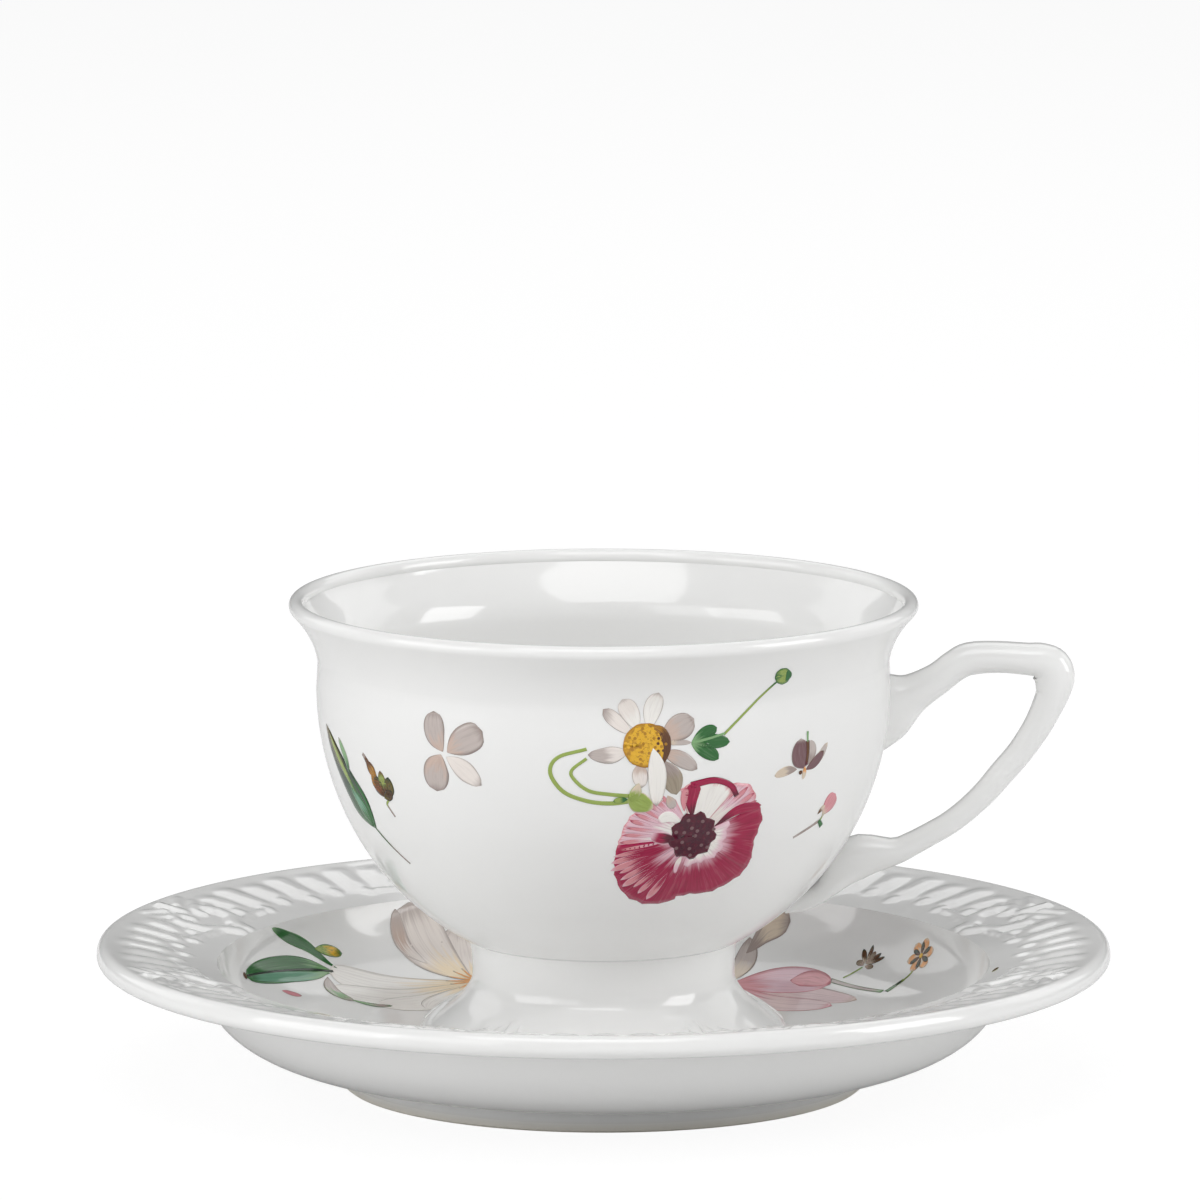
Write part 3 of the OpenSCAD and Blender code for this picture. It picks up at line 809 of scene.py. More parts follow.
def daisy(s):
    """Daisy with one pale petal hanging over the anemone."""
    grey, pale, beige = "shell petal_grey petal_dark", "milk shell petal_grey", "dust petal_grey petal_dark"
    s.petal([(-2.6, -0.9), (-5.8, -1.5), (-8.8, -1.4)], 1.35, grey, 1, full=0.45, blunt=0.7)
    s.petal([(-1.8, 1.6), (-4, 3.4), (-6.5, 5.7)], 1.1, grey, 1, (0.25, 2, 0.75), full=0.7)
    s.petal([(-1.2, 2.3), (-2.2, 4.8), (-3.6, 7.3)], 1.5, pale, 2, (0.3, 3, 0.5), full=0.68)
    s.petal([(0.5, 2.4), (1, 5.2), (2, 8.3)], 1.45, pale, 1, (0.2, 3, 0.9), full=0.65)
    s.petal([(2.4, 0.9), (4.9, 2.4), (7.6, 3.9)], 2.05, beige, 1, (0.3, 3, 0.5), full=0.62)
    s.petal([(2.9, 0.2), (5, 0.3), (7.2, 0.2)], 0.45, "sand petal_grey petal_grey", 1)
    s.petal([(2.6, -1.1), (5.3, -2.2), (8.2, -4.1)], 1.25, beige, 1, full=0.55)
    s.petal([(2.2, -2.4), (4, -5), (5, -8.1)], 1.75, "petal_dark husk husk", 1, (0.3, 3, 0.5),
            (0.12, 0, 0.6), full=0.6, blunt=0.8)
    s.petal([(-0.7, -2.6), (-0.8, -4.6), (-0.5, -6.8)], 1.25, "dust shell petal_grey", 1)
    s.petal([(3.6, -8.2), (4.2, -9.4), (4.6, -10.4)], 0.8, beige, 2)
    s.dot((0, 0), 3.5, "yolk yolk ochre", 4, (0.2, 0.9, 0), wavy=0.012)
    for i in range(56):
        angle, reach = math.radians(i * GOLDEN_TURN), 3.2 * math.sqrt(i / 56)
        shaded = math.cos(angle + 0.2) * reach > 1.2
        colour = "ochre" if i % 3 == 1 else "bark" if shaded else "yolk"
        s.dot((reach * math.cos(angle), reach * math.sin(angle)), 0.24, colour, 5, (0.2, 0, 0))
    s.petal([(0.4, 3.1), (2.6, 2.2), (3.4, -0.4), (2.7, -3.2)], 0.7, "ochre bark bark", 5, (0.5, 3, 0.3),
            (0.1, 0.8, 0.5), full=0.5, blunt=0.9)
    s.petal([(1.2, -0.5), (1.9, -4.6), (1.9, -9.9)], 1.45, pale, 6, (0.2, 3, 0.9), (0.1, 0, 0.2), full=0.5)


def curled_stems(s):
    """The daisy's looped stems."""
    s.stem([(-1.8, -8.9), (-5.2, -9.3), (-8.8, -8.9), (-12.4, -7.4), (-14.4, -4.4), (-13.3, -1.9),
            (-9, -0.5)], 0.36, "stem", 2, fine=48)
    s.stem([(-2.2, -8.1), (-5.4, -7.8), (-8.6, -7.2), (-10.8, -5.4), (-11.2, -3.9), (-9, -2)], 0.32, "stem",
           2, fine=40)
    s.petal([(-0.9, -6), (-1.4, -7.6), (-2, -9)], 0.9, "sand stem stem", 7)
    s.petal([(-2.6, -8.5), (-0.8, -9.2), (1.4, -10.2)], 1.7, "stem stem sand", 7, (0.4, 3, 0.5),
            (0.15, 0, 0.5), full=0.5, blunt=0.7)
    s.petal([(-2.6, -8.6), (-3.6, -8.7), (-4.8, -8.9)], 0.5, "leaf stem leaf", 7)


def bud_spray(s):
    """Leaves and a long stem with a green bud."""
    for line, half in ((((7.2, 0.1), (9.4, 1.5), (11.3, 2.3)), 1.05),
                       (((7.2, 0), (9.4, -1.1), (11.6, -2.7)), 1.2),
                       (((7.4, 0.1), (10.4, 0.2), (13.4, -0.1)), 1.15)):
        s.petal(line, half, "leaf_pale leaf leaf", 2, (0.3, 3, 0.25), (0.12, 0, 0.5))
    s.stem([(7.3, 0.1), (10.2, 0.7), (12.6, 1.3)], 0.22, "leaf_pale", 3)
    s.stem([(12.4, 1.1), (15.2, 3.6), (18.4, 6.4), (21.2, 8.8)], 0.2, "stem stem leaf", 2)
    s.dot((22.1, 9.7), 1.35, "stem stem leaf", 3, (0.35, 0.4, 0), squash=1.15)
    s.petal([(22.6, 8.7), (23.1, 9.6), (22.9, 10.7)], 0.5, "leaf", 4)


def four_petal(s):
    """Grey flower of four petals."""
    grey = "dust petal_grey petal_dark"
    wash, rim = (0.5, 2.5, 0.3), (0.22, 0, 0.35)
    s.petal([(-0.4, 0.3), (-1.8, 3), (-2.1, 6.5)], 1.95, grey, 1, wash, rim, full=0.62, blunt=0.4)
    s.petal([(0.4, 0.3), (3.2, 2.2), (6.7, 4.1)], 2.35, grey, 1, wash, rim, full=0.62, blunt=0.32)
    s.petal([(-0.8, -0.2), (-1.9, -2.9), (-2.2, -6.3)], 2.4, grey, 2, (0.7, 2.5, 0.5), rim, full=0.55,
            blunt=0.4)
    s.petal([(0.2, -0.5), (3, -2.2), (6, -4.6)], 1.7, "shell shell petal_grey", 1, wash, (0.2, 0, 0.15),
            full=0.6, blunt=0.7)


def lance_leaf(s):
    """Long dark leaf."""
    s.petal([(5.2, -8), (1, -1.4), (-6, 7.4)], 3.3, "leaf forest forest", 1, (0.5, 5, 0.42), (0.16, 0, 0.9),
            full=0.36, blunt=0.9)
    s.petal([(4.6, -7.2), (3.2, -4.6), (0.8, -1.2)], 1.3, "leaf sage leaf", 2, (0.6, 4, 0.4),
            (0.3, 0.2, 0.9), full=0.4, blunt=0.8)
    s.petal([(0.6, 0.2), (-2.2, 3.4), (-6.2, 7.6)], 1.25, "forest olive olive", 2, (0.7, 4, 0.35),
            (0.2, 0, 0.9), full=0.4, blunt=0.8)
    s.petal([(1.7, 0.9), (1.4, 3.4), (-0.4, 6.4)], 0.8, "leaf leaf_pale petal_grey", 2, (0.6, 3, 0.4))
    s.petal([(2.4, -2.4), (-0.6, 1.6), (-4.6, 6.4)], 0.65, "leaf stem stem", 3, (0.6, 4, 0.2), (0.2, 0, 0.6),
            full=0.5, blunt=0.8)
    s.stem([(4.8, -7.6), (7.6, -10.8), (10.2, -13.6)], 0.2, "leaf petal_dark petal_dark", 3)


def seed_sprig(s):
    """Sprig of brown seeds."""
    brown = "bark olive forest"
    s.stem([(-4.8, 4.8), (-4.2, 4.2), (-3.6, 3.4)], 0.28, "petal_dark bark bark", 1, taper=-0.8)
    for line, half, colours in (([(-4, 3.8), (-3, 2.6), (-1.9, 0.8)], 0.95, "bark ochre bark"),
                                ([(-3.2, 1.4), (-2.2, 0.2), (-0.8, -1.4)], 1, "ochre rust bark"),
                                ([(-0.4, -1.8), (-1.7, -0.2), (-1.8, 1.6)], 1.2, brown),
                                ([(0, -1.8), (-0.4, 0.2), (-0.6, 2.6)], 1.1, "bark stem bark"),
                                ([(0.4, -1.8), (0.9, -0.2), (1.2, 1.8)], 1.2, brown),
                                ([(-0.8, -2), (0.4, -1.4), (1.4, -0.4)], 0.9, "olive bark forest")):
        s.petal(line, half, colours, 2, (0.6, 3, 0.4), (0.25, 0.8, 0.8), blunt=0.7)
    s.stem([(0.6, -1.9), (-0.5, -2.9), (-0.1, -3.8), (0.7, -5)], 0.22, "stem petal_dark petal_dark", 1)


def mauve_blossom(s):
    """Small dusky flower."""
    s.petal([(-1.3, -1.9), (-3.4, -1.9), (-5.7, -2.5)], 0.8, "petal_dark sand sand", 1)
    s.petal([(0.5, -1.6), (1.6, 0.4), (1.2, 2.5)], 1, "petal_dark petal_grey petal_grey", 1)
    s.petal([(0.8, -1.9), (3.2, -0.8), (5.2, 1.6)], 0.75, "petal_grey petal_grey sand", 1)
    s.petal([(0.7, -2.2), (2.6, -1.2), (4.4, 0.4)], 0.85, "mauve mauve bark", 2)
    s.petal([(0.3, -1.9), (-0.8, 0.4), (-1, 3)], 1.9, "mauve mauve petal_dark", 3, (0.3, 3, 0.4),
            (0.15, 0, 0.6), full=0.45)
    s.stem([(0.5, 2.5), (0.7, 0.6), (0.6, -1.4)], 0.38, "bark bark burgundy", 4)
    s.stem([(0.4, 4), (0.45, 3.2), (0.5, 2.3)], 0.2, "leaf_pale", 4)
    s.petal([(0.3, -1.6), (0.4, -2.6), (0.3, -3.7)], 0.42, "amber sand sand", 4)
    s.dot((-0.45, -2.5), 0.35, "bark", 5)


def pink_bud(s):
    """Pink bud on a bent stem."""
    s.petal([(-0.9, -1.5), (0.2, 0.2), (1.3, 1.8)], 1.7, "sand rose rose", 1, (0.3, 3, 0.2), (0.1, 0, 0.5),
            full=0.6, blunt=0.35)
    s.petal([(-2.3, -1.2), (-1.6, -0.4), (-1, 0.2)], 0.45, "bark sand sand", 2)
    s.stem([(-0.6, -1.2), (-0.8, -1.9), (-1.2, -2.6)], 0.22, "sand stem leaf", 2)
    s.stem([(-1.4, -2.4), (-0.8, -2.9), (-0.1, -3.6)], 0.32, "leaf", 3, taper=-0.3)
    s.stem([(-1.3, -2.5), (-3.4, -3.4), (-6.4, -4.7)], 0.28, "petal_dark petal_dark petal_grey", 2)


def leaf_pair(s):
    """Two green leaves and a withered bud."""
    s.place = well_wrap(139.5, 11.1)
    s.petal([(0.2, -0.4), (3.6, 4.4), (8.6, 7.2), (12, 9)], 1.15, "leaf leaf leaf_pale", 1, (0.35, 4, 0.3),
            (0.14, 0, 0.6), full=0.5, blunt=0.8, fine=26)
    s.petal([(1.6, -0.8), (6.6, 0.9), (14.7, 2.2), (25.4, 3.6)], 2.6, "leaf_pale leaf leaf", 2,
            (0.4, 5, 0.2), (0.16, 0, 0.6), full=0.56, blunt=0.45, fine=26)
    s.petal([(3, -0.9), (7, -0.6), (14.7, 0.9), (24.4, 3)], 1.15, "leaf_pale sage leaf", 3, (0.4, 4, 0.3),
            (0.16, 0, 0.6), full=0.56, blunt=0.6, fine=26)
    s.stem([(1.6, -0.8), (6.6, 0.7), (14.7, 2.1), (25.2, 3.6)], 0.26, "forest", 4, fine=26)
    s.dot((25.6, 3.7), 0.6, "bark", 5, (0.3, 0, 0))
    s.petal([(2.4, 4), (-0.4, 3.2), (-3, 2.2)], 1.15, "stem yolk leaf", 3, (0.5, 3, 0.5), (0.35, 0.7, 0.6),
            blunt=0.4)


def cream_blossom(s):
    """Broad white petals round amber stamens."""
    flat = s.place = saucer_wrap()
    pale = "cream milk shell"
    s.petal([(-21, 43), (-33, 36.5), (-44.3, 34.6)], 4, pale, 1, (0.3, 4, 0.3), (0.08, 0, 0.35), full=0.6,
            blunt=0.4, fine=26)
    s.petal([(-21, 42.6), (-32, 32.5), (-43.6, 29.8)], 3.8, pale, 2, (0.3, 4, 0.3), (0.06, 0, 0.45),
            full=0.62, blunt=0.5, fine=26)
    s.petal([(-21, 42.2), (-28, 31.5), (-36, 26.9)], 3.8, pale, 3, (0.3, 4, 0.3), (0.06, 0, 0.45), full=0.62,
            fine=24)
    s.petal([(-21, 42), (-25, 33), (-27.4, 26.6)], 3.4, "cream milk petal_grey", 4, (0.3, 4, 0.3),
            (0.06, 0, 0.45), full=0.62, fine=20)
    s.place = well_wrap(121, 10.3)
    s.petal([(-4.2, -7.6), (-1.2, 1), (0.4, 10.4)], 4.9, "cream shell petal_grey", 3, (0.35, 4, 0.36),
            (0.22, 0, 0.4), full=0.66, blunt=0.3, fine=26)
    s.petal([(0.6, -1.2), (3, 3.4), (3, 9.6)], 1.5, "shell dust petal_grey", 4, (0.6, 3, 0.5), (0.5, 0, 0.5),
            full=0.6, blunt=0.5, fine=16)
    s.place = flat
    s.petal([(-20.5, 43), (-22.5, 49), (-23.5, 54.5)], 4, "cream shell petal_grey", 2, (0.4, 4, 0.4),
            (0.2, 0, 0.3), full=0.6, fine=20)
    for reach, angle in ((5, 178), (4.2, 160), (4.6, 200), (3.8, 220), (3.4, 140), (5.2, 190)):
        tip = (-20.4 + reach * math.cos(math.radians(angle)),
               43.6 + 1.6 * reach * math.sin(math.radians(angle)))
        s.stem([(-20.4, 43.6), tip], 0.35, "amber amber sand", 6, fine=8, taper=0.6)
    s.petal([(-44.4, 32.8), (-43.4, 29), (-40, 26.8)], 1.3, "petal_grey leaf_pale petal_dark", 3,
            (0.4, 3, 0.5), (0.3, 0, 0.6))
    s.petal([(-40.5, 27.2), (-36.6, 26.6), (-33.8, 27.4)], 0.8, "leaf_pale petal_dark leaf", 4,
            (0.4, 3, 0.5), (0.3, 0, 0.6))
    s.petal([(-51.4, 20.7), (-50, 21.5), (-48.3, 22.6)], 0.7, "rose rose petal_dark", 2)


def pink_blossom(s):
    """Pink petals with a brown stem."""
    s.place = saucer_wrap()
    s.petal([(21, 41.6), (30, 35.4), (40.6, 27)], 3.4, "rose blossom dust", 1, (0.4, 5, 0.25),
            (0.10, 0, 0.7), full=0.6, blunt=0.8, fine=26)
    s.petal([(21, 41), (26.6, 31.6), (36.6, 26.2)], 3.6, "rose blossom rose", 2, (0.4, 5, 0.3),
            (0.10, 0, 0.8), full=0.6, fine=24)
    s.petal([(20.6, 42.5), (28, 41), (36.6, 36.2)], 4.4, "rose blush rose", 3, (0.4, 4, 0.4), (0.14, 0, 0.5),
            full=0.55, fine=24)
    s.petal([(30.2, 40.6), (33.2, 39.6), (36.4, 36.4)], 2.4, "rose", 4, (0.3, 3, 0.4), (0.2, 0, 0.6),
            full=0.45)
    s.petal([(20.5, 43.5), (22.8, 48.5), (23.8, 53.2)], 1.9, "sand petal_grey petal_dark", 2)
    s.petal([(23.2, 50.8), (26.6, 52.8), (30.4, 51.8)], 1.5, "petal_dark sand petal_dark", 3, (0.4, 3, 0.4),
            (0.3, 0, 0.4))
    s.stem([(36.5, 37.6), (40.8, 32.2), (44.8, 27.6)], 0.5, "petal_grey petal_dark leaf_pale", 2)


def brown_sprigs(s):
    """Dry husks and a small brown flower."""
    brown, dull = "sand bark forest", "dust husk bark"
    s.place = well_wrap(42.2, 12)
    s.stem([(1.4, -5), (0.6, -3.4), (-0.2, -1.8)], 0.22, "stem stem leaf_pale", 1)
    for tip, half, inks in (((1.8, -0.8), 0.6, dull), ((2, 1.6), 0.5, brown), ((0.4, 2.6), 0.42, brown),
                            ((-0.8, 1.6), 0.6, dull), ((-2.2, 1.5), 0.5, brown), ((-3.4, 1), 0.42, brown),
                            ((-2.4, -1.4), 0.55, dull)):
        root = (-0.3 + 0.1 * tip[0], -1.3 + 0.15 * tip[1])
        s.petal([root, ((root[0] + tip[0]) / 2, (root[1] + tip[1]) / 2), tip], half, inks, 2, (0.5, 3, 0.4),
                (0.25, 0.5, 0.6), full=0.6, blunt=0.6, fine=10)
    s.place = well_wrap(30.2, 13.4)
    s.stem([(0.6, -7.6), (0.5, -5.6), (0.2, -4)], 0.5, "leaf forest stem", 1)
    s.stem([(0.2, -4.2), (0, -2.8), (0.2, -1.2)], 0.24, "stem stem bark", 1)
    for reach, half, inks, layer, turned in ((3.1, 1, "sand amber sand", 1, 30),
                                             (2.5, 0.45, "bark forest bark", 3, 12)):
        for i in range(6):
            turn = math.radians(turned + 60 * i)
            spots = [(0.4 + share * reach * math.cos(turn),
                      0.9 + share * reach * math.sin(turn)) for share in (0.12, 0.55, 1)]
            s.petal(spots, half, inks, layer, (0.5, 3, 0.4), (0.25, 0.2, 0.5), full=0.6, blunt=0.6, fine=10)
    s.dot((0.4, 0.9), 0.45, "yolk", 5, (0.3, 0, 0))
    s.place = saucer_wrap()
    s.petal([(61, -10.4), (61.6, -8.7), (62.1, -7)], 0.32, "bark bark stem", 1)


# ---- Operators ----


class TEACUP_OT_saucer(bpy.types.Operator):
    """Throw the saucer and press its relief rim"""

    bl_idname = "teacup.throw_saucer"
    bl_label = "Throw saucer"

    def execute(self, context):
        face = saucer_face()
        clay = throw(saucer_back() + face, 640)
        table = face[::-1]
        for vert in clay.verts:
            radius = math.hypot(vert.co.x, vert.co.y)
            if radius > RELIEF_START and vert.co.z > round_face(radius, table)[0] - 0.2:
                vert.co.z += pressed(math.degrees(math.atan2(vert.co.y, vert.co.x)), radius)
        clay.normal_update()
        mark_bare(clay, 0.0)
        finish(clay, "porcelain_saucer", "saucer", "saucer", porcelain_glaze())
        return {"FINISHED"}


class TEACUP_OT_cup(bpy.types.Operator):
    """Throw the bowl and turn its foot"""

    bl_idname = "teacup.throw_cup"
    bl_label = "Throw cup"

    def execute(self, context):
        bowl = throw(bowl_lining() + lip_round() + bowl_outline() + [(0, FOOT_TOP)], 288)
        mark_bare(bowl)
        finish(bowl, "porcelain_bowl", "cup", "cup_bowl", porcelain_glaze())
        foot = throw(foot_outline(), 560)
        relief = sizes().foot_relief / MM
        foot.normal_update()
        for vert in foot.verts:
            height = vert.co.z - SEAT
            if height < LEAVES_TOP and vert.normal.x * vert.co.x + vert.normal.y * vert.co.y > 0:
                bearing = math.degrees(math.atan2(vert.co.x, -vert.co.y)) - LEAVES_TURN
                ground = 0.5 * smooth_step(0, 3, height) * (1 - smooth_step(7, LEAVES_TOP, height))
                vert.co += vert.normal * relief * (foot_leaves(bearing, height) - ground)
                if math.hypot(vert.co.x, vert.co.y) > FOOT_R:
                    set_radius(vert, FOOT_R)
        foot.normal_update()
        mark_bare(foot, SEAT)
        finish(foot, "porcelain_foot", "cup", "cup_foot", porcelain_glaze())
        return {"FINISHED"}


HANDLE_LINE = [  # across and up as shares, half thickness, half width
    (-0.17, 0.79, 6.8, 4.8), (-0.012, 0.831, 5.6, 4.3), (0.06, 0.852, 4.3, 3.8), (0.133, 0.877, 3.05, 3.45),
    (0.252, 0.924, 2.5, 3.15), (0.344, 0.97, 2.45, 3.1), (0.426, 0.996, 2.55, 3.1), (0.578, 1.002, 2.45, 3.1),
    (0.738, 0.995, 2.5, 3.1), (0.805, 0.99, 2.75, 3.1), (0.86, 0.968, 3.25, 3.15), (0.882, 0.93, 3.25, 3.1),
    (0.877, 0.885, 2.8, 3.05), (0.86, 0.849, 2.5, 3.0), (0.795, 0.758, 2.2, 2.85), (0.701, 0.664, 2.02, 2.75),
    (0.603, 0.588, 1.98, 2.7), (0.514, 0.519, 1.88, 2.65), (0.422, 0.461, 1.8, 2.65),
    (0.324, 0.41, 1.77, 2.65), (0.229, 0.373, 1.77, 2.65), (0.114, 0.332, 1.85, 2.75),
    (0.02, 0.306, 2.15, 2.85)]
# along the bowl's lower wall as a share, stand-off, half thickness, half width
HANDLE_TAIL = [(0.622, 2.6, 3.6, 3.1), (0.735, 2.0, 1.9, 2.7), (0.80, 1.2, 1.6, 2.2), (0.86, 0.0, 0.9, 1.2)]


ROOT_DEPTH = 1.0  # how far the handle's roots sink into the wall
SQUARING = 0.84  # below 1 makes the handle's round section squarer
STEPS_PER_STATION = 4
WALL_STEPS = 400


class TEACUP_OT_handle(bpy.types.Operator):
    """Pull the loop handle and lute it to the bowl"""

    bl_idname = "teacup.pull_handle"
    bl_label = "Pull handle"

    def execute(self, context):
        belly_r = sizes().belly / MM
        reach, rise = HANDLE_REACH - belly_r, HANDLE_TOP - 2.5 - FOOT_TOP
        rows = [(belly_r + a * reach, FOOT_TOP + b * rise, t, w) for a, b, t, w in HANDLE_LINE]
        low = bend(bowl_low_knots(), WALL_STEPS)
        for share, off, thick, wide in HANDLE_TAIL:
            here = round(share * WALL_STEPS)
            (r0, z0), (r1, z1) = low[here - 1], low[here + 3]
            way = Vector((r1 - r0, z1 - z0)).normalized()
            rows.append((r0 - way.y * off, z0 + way.x * off, thick, wide))
        clay = bmesh.new()
        ring = bmesh.ops.create_circle(clay, cap_ends=False, radius=1.0, segments=32)["verts"]
        for vert in ring:
            for axis in (0, 1):
                vert.co[axis] = math.copysign(abs(vert.co[axis]) ** SQUARING, vert.co[axis])
        edges, first, placed = clay.edges[:], clay.edges[:], Matrix.Identity(4)
        count = STEPS_PER_STATION * (len(rows) - 1)
        for i in range(count + 1):
            share = i / count
            spot, way = along_line([(r[0], r[1], 0) for r in rows], share)
            section, _ = along_line([(r[2], r[3], 0) for r in rows], share)
            side = Vector((-way.y, 0, way.x))
            target = Matrix((
                (side.x * section.x, 0, way.x, spot.x), (0, section.y, 0, 0),
                (side.z * section.x, 0, way.y, spot.y), (0, 0, 0, 1)))
            if i:
                made = bmesh.ops.extrude_edge_only(clay, edges=edges)["geom"]
                ring = [g for g in made if isinstance(g, bmesh.types.BMVert)]
                kept = set(ring)
                edges = [g for g in made if isinstance(g, bmesh.types.BMEdge) and set(g.verts) <= kept]
            bmesh.ops.transform(clay, matrix=target @ placed.inverted(), verts=ring)
            placed = target
        bmesh.ops.edgeloop_fill(clay, edges=first)
        bmesh.ops.edgeloop_fill(clay, edges=edges)
        bmesh.ops.recalc_face_normals(clay, faces=clay.faces)
        wall_by_height = [(z, r) for r, z in reversed(bowl_outline())]
        for vert in clay.verts:
            limit = round_face(vert.co.z, wall_by_height)[0] - ROOT_DEPTH
            if math.hypot(vert.co.x, vert.co.y) < limit:
                set_radius(vert, limit)
        mark_bare(clay)
        finish(clay, "porcelain_handle", "cup", "handle", porcelain_glaze(), crease=0.9)
        return {"FINISHED"}


class TEACUP_OT_cup_prints(bpy.types.Operator):
    """Lay the flowers on the cup's wall"""

    bl_idname = "teacup.fire_cup_prints"
    bl_label = "Fire cup prints"

    def execute(self, context):
        for draw, colour, spots in (
                (anemone, "crimson", [(19.1, 46.5)]),
                (daisy, "grey", [DAISY_SPOT]),
                (curled_stems, "green", [DAISY_SPOT]),
                (bud_spray, "green", [DAISY_SPOT]),
                (four_petal, "grey", [(-32.9, 59), (205, 58.5)]),
                (lance_leaf, "green", [(-66.5, 51.8), (168, 50)]),
                (seed_sprig, "olive", [(-50.7, 52), (236, 54)]),
                (mauve_blossom, "grey", [(43.8, 57.6)]),
                (pink_bud, "pink", [(54.6, 48.6), (186, 47)])):
            sheet = Sheet()
            for bearing, z in spots:
                sheet.place = cup_wrap(bearing, z)
                draw(sheet)
            sheet.fire(draw.__name__, "cup", colour)
        return {"FINISHED"}


class TEACUP_OT_saucer_prints(bpy.types.Operator):
    """Lay the blossoms in the saucer's well"""

    bl_idname = "teacup.fire_saucer_prints"
    bl_label = "Fire saucer prints"

    def execute(self, context):
        for draw, colour in ((leaf_pair, "green"), (cream_blossom, "cream"), (pink_blossom, "pink"),
                             (brown_sprigs, "olive")):
            sheet = Sheet()
            draw(sheet)
            sheet.fire(draw.__name__, "saucer", colour)
        return {"FINISHED"}


FLOOR_GLOW, FLOOR_FADE = 1.07, 0.86  # the floor fades to even white where it is looked at
LOW, MIDDLE = (0, 0, 0.03), (0, 0, 0.05)  # what a lamp is turned towards
LAMPS = (  # name, place, aim, width and height in metres, watts
    ("left_box", (-1.25, -0.55, 0.40), MIDDLE, 0.9, 0.9, 7.1),
    ("left_front_box", (-0.9, -1.2, 0.55), MIDDLE, 0.8, 0.9, 3.9),
    ("top_front_box", (-0.1, -0.7, 1.2), LOW, 1.0, 0.8, 7.0),
    ("top_box", (0.0, 0.2, 1.35), LOW, 1.1, 1.0, 1.4),
    ("top_back_box", (0.1, 1.0, 1.0), MIDDLE, 1.2, 0.8, 3.6),
    ("right_box", (1.3, -0.4, 0.55), MIDDLE, 0.7, 0.9, 9.4),
    ("front_card", (0.3, -1.6, 0.12), MIDDLE, 1.2, 0.24, 0.9),
    ("left_back_box", (-1.1, 0.8, 0.6), MIDDLE, 0.8, 0.8, 2.0),
    ("right_back_box", (1.1, 0.8, 0.6), MIDDLE, 0.8, 0.8, 2.0))
CAMERA_PLACE = (-0.00055, -1.8, 0.3678)
CAMERA_DIP = 9.18  # degrees below level
FOCAL_LENGTH = 348.0


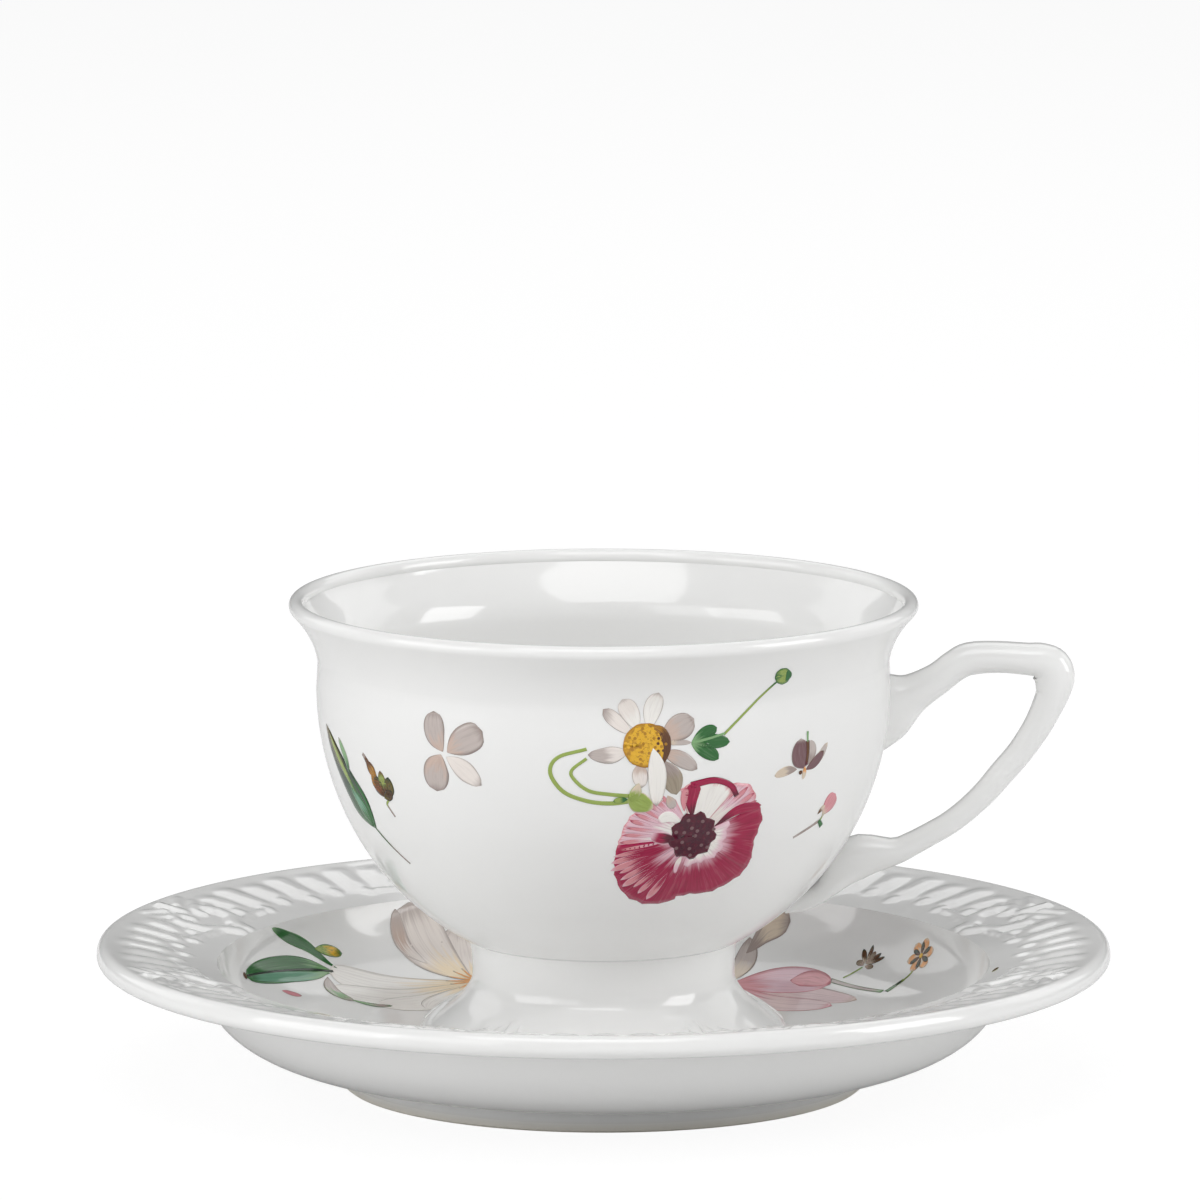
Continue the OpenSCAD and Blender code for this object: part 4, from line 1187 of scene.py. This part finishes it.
class TEACUP_OT_stage(bpy.types.Operator):
    """Set the floor, the soft lights and the camera"""

    bl_idname = "teacup.set_stage"
    bl_label = "Set stage"

    def execute(self, context):
        self.floor()
        self.sky()
        self.lights()
        self.camera()
        return {"FINISHED"}

    @staticmethod
    def floor():
        work = bmesh.new()
        bmesh.ops.create_grid(work, x_segments=1, y_segments=1, size=6.0)
        mesh = bpy.data.meshes.new("stage_floor")
        work.to_mesh(mesh)
        work.free()
        floor = bpy.data.objects.new("stage_floor", mesh)
        bpy.context.scene.collection.objects.link(floor)
        material, w, surface = shell("stage_paper")
        surface.inputs["Base Color"].default_value = (0.82, 0.82, 0.82, 1)
        surface.inputs["Roughness"].default_value = 0.9
        surface.inputs["Specular IOR Level"].default_value = 0.1
        glow = w.add("ShaderNodeEmission", {"Color": (1, 1, 1, 1), "Strength": FLOOR_GLOW}).outputs[0]
        seen = w.add("ShaderNodeLightPath").outputs["Is Camera Ray"]
        both = w.add("ShaderNodeMixShader", {0: w.times(seen, FLOOR_FADE), 1: surface.outputs[0], 2: glow})
        w.join(both.outputs[0], w.tree.nodes["Material Output"].inputs["Surface"])
        mesh.materials.append(material)

    @staticmethod
    def sky():
        world = bpy.data.worlds.new("studio")
        world.use_nodes = True
        bpy.context.scene.world = world
        tree = world.node_tree
        w = Wiring(tree)
        back = tree.nodes["Background"]
        seen = w.add("ShaderNodeLightPath").outputs["Is Camera Ray"]
        w.join(w.mix(seen, (0.10, 0.10, 0.10, 1), (1.02, 1.02, 1.02, 1)), back.inputs["Color"])

    @staticmethod
    def lights():
        for name, spot, aim, wide, tall, watts in LAMPS:
            lamp = bpy.data.lights.new(name, "AREA")
            lamp.shape, lamp.size, lamp.size_y, lamp.energy = "RECTANGLE", wide, tall, watts
            light = bpy.data.objects.new(name, lamp)
            way = Vector(aim) - Vector(spot)
            light.location, light.rotation_euler = spot, way.to_track_quat("-Z", "Y").to_euler()
            bpy.context.scene.collection.objects.link(light)

    @staticmethod
    def camera():
        lens = bpy.data.cameras.new("view")
        lens.lens, lens.sensor_width = FOCAL_LENGTH, 36.0
        lens.clip_start, lens.clip_end = 0.05, 50.0
        camera = bpy.data.objects.new("view", lens)
        camera.location = CAMERA_PLACE
        camera.rotation_euler = (math.radians(90 - CAMERA_DIP), 0, 0)
        bpy.context.scene.collection.objects.link(camera)
        bpy.context.scene.camera = camera
        bpy.context.scene.view_settings.view_transform = "Standard"


STEPS = (TEACUP_OT_saucer, TEACUP_OT_cup, TEACUP_OT_handle, TEACUP_OT_cup_prints, TEACUP_OT_saucer_prints,
         TEACUP_OT_stage)


class TEACUP_PT_panel(bpy.types.Panel):
    """Lists the teacup's pieces in the order they are made"""

    bl_idname = "TEACUP_PT_panel"
    bl_label = "Footed teacup"
    bl_space_type = "VIEW_3D"
    bl_region_type = "UI"
    bl_category = "Teacup"

    def draw(self, context):
        column = self.layout.column()
        for group in (context.scene.teacup_sizes, context.scene.teacup_colours):
            for name in group.__annotations__:
                column.prop(group, name)
        for step in STEPS:
            column.operator(step.bl_idname)


CLASSES = (TeacupSizes, TeacupColours, *STEPS, TEACUP_PT_panel)


def register():
    for cls in CLASSES:
        bpy.utils.register_class(cls)
    bpy.types.Scene.teacup_sizes = bpy.props.PointerProperty(type=TeacupSizes)
    bpy.types.Scene.teacup_colours = bpy.props.PointerProperty(type=TeacupColours)


def unregister():
    del bpy.types.Scene.teacup_colours
    del bpy.types.Scene.teacup_sizes
    for cls in reversed(CLASSES):
        bpy.utils.unregister_class(cls)


def main():
    register()
    bpy.ops.teacup.throw_saucer()
    bpy.ops.teacup.throw_cup()
    bpy.ops.teacup.pull_handle()
    bpy.ops.teacup.fire_cup_prints()
    bpy.ops.teacup.fire_saucer_prints()
    bpy.ops.teacup.set_stage()


if __name__ == "__main__":
    main()
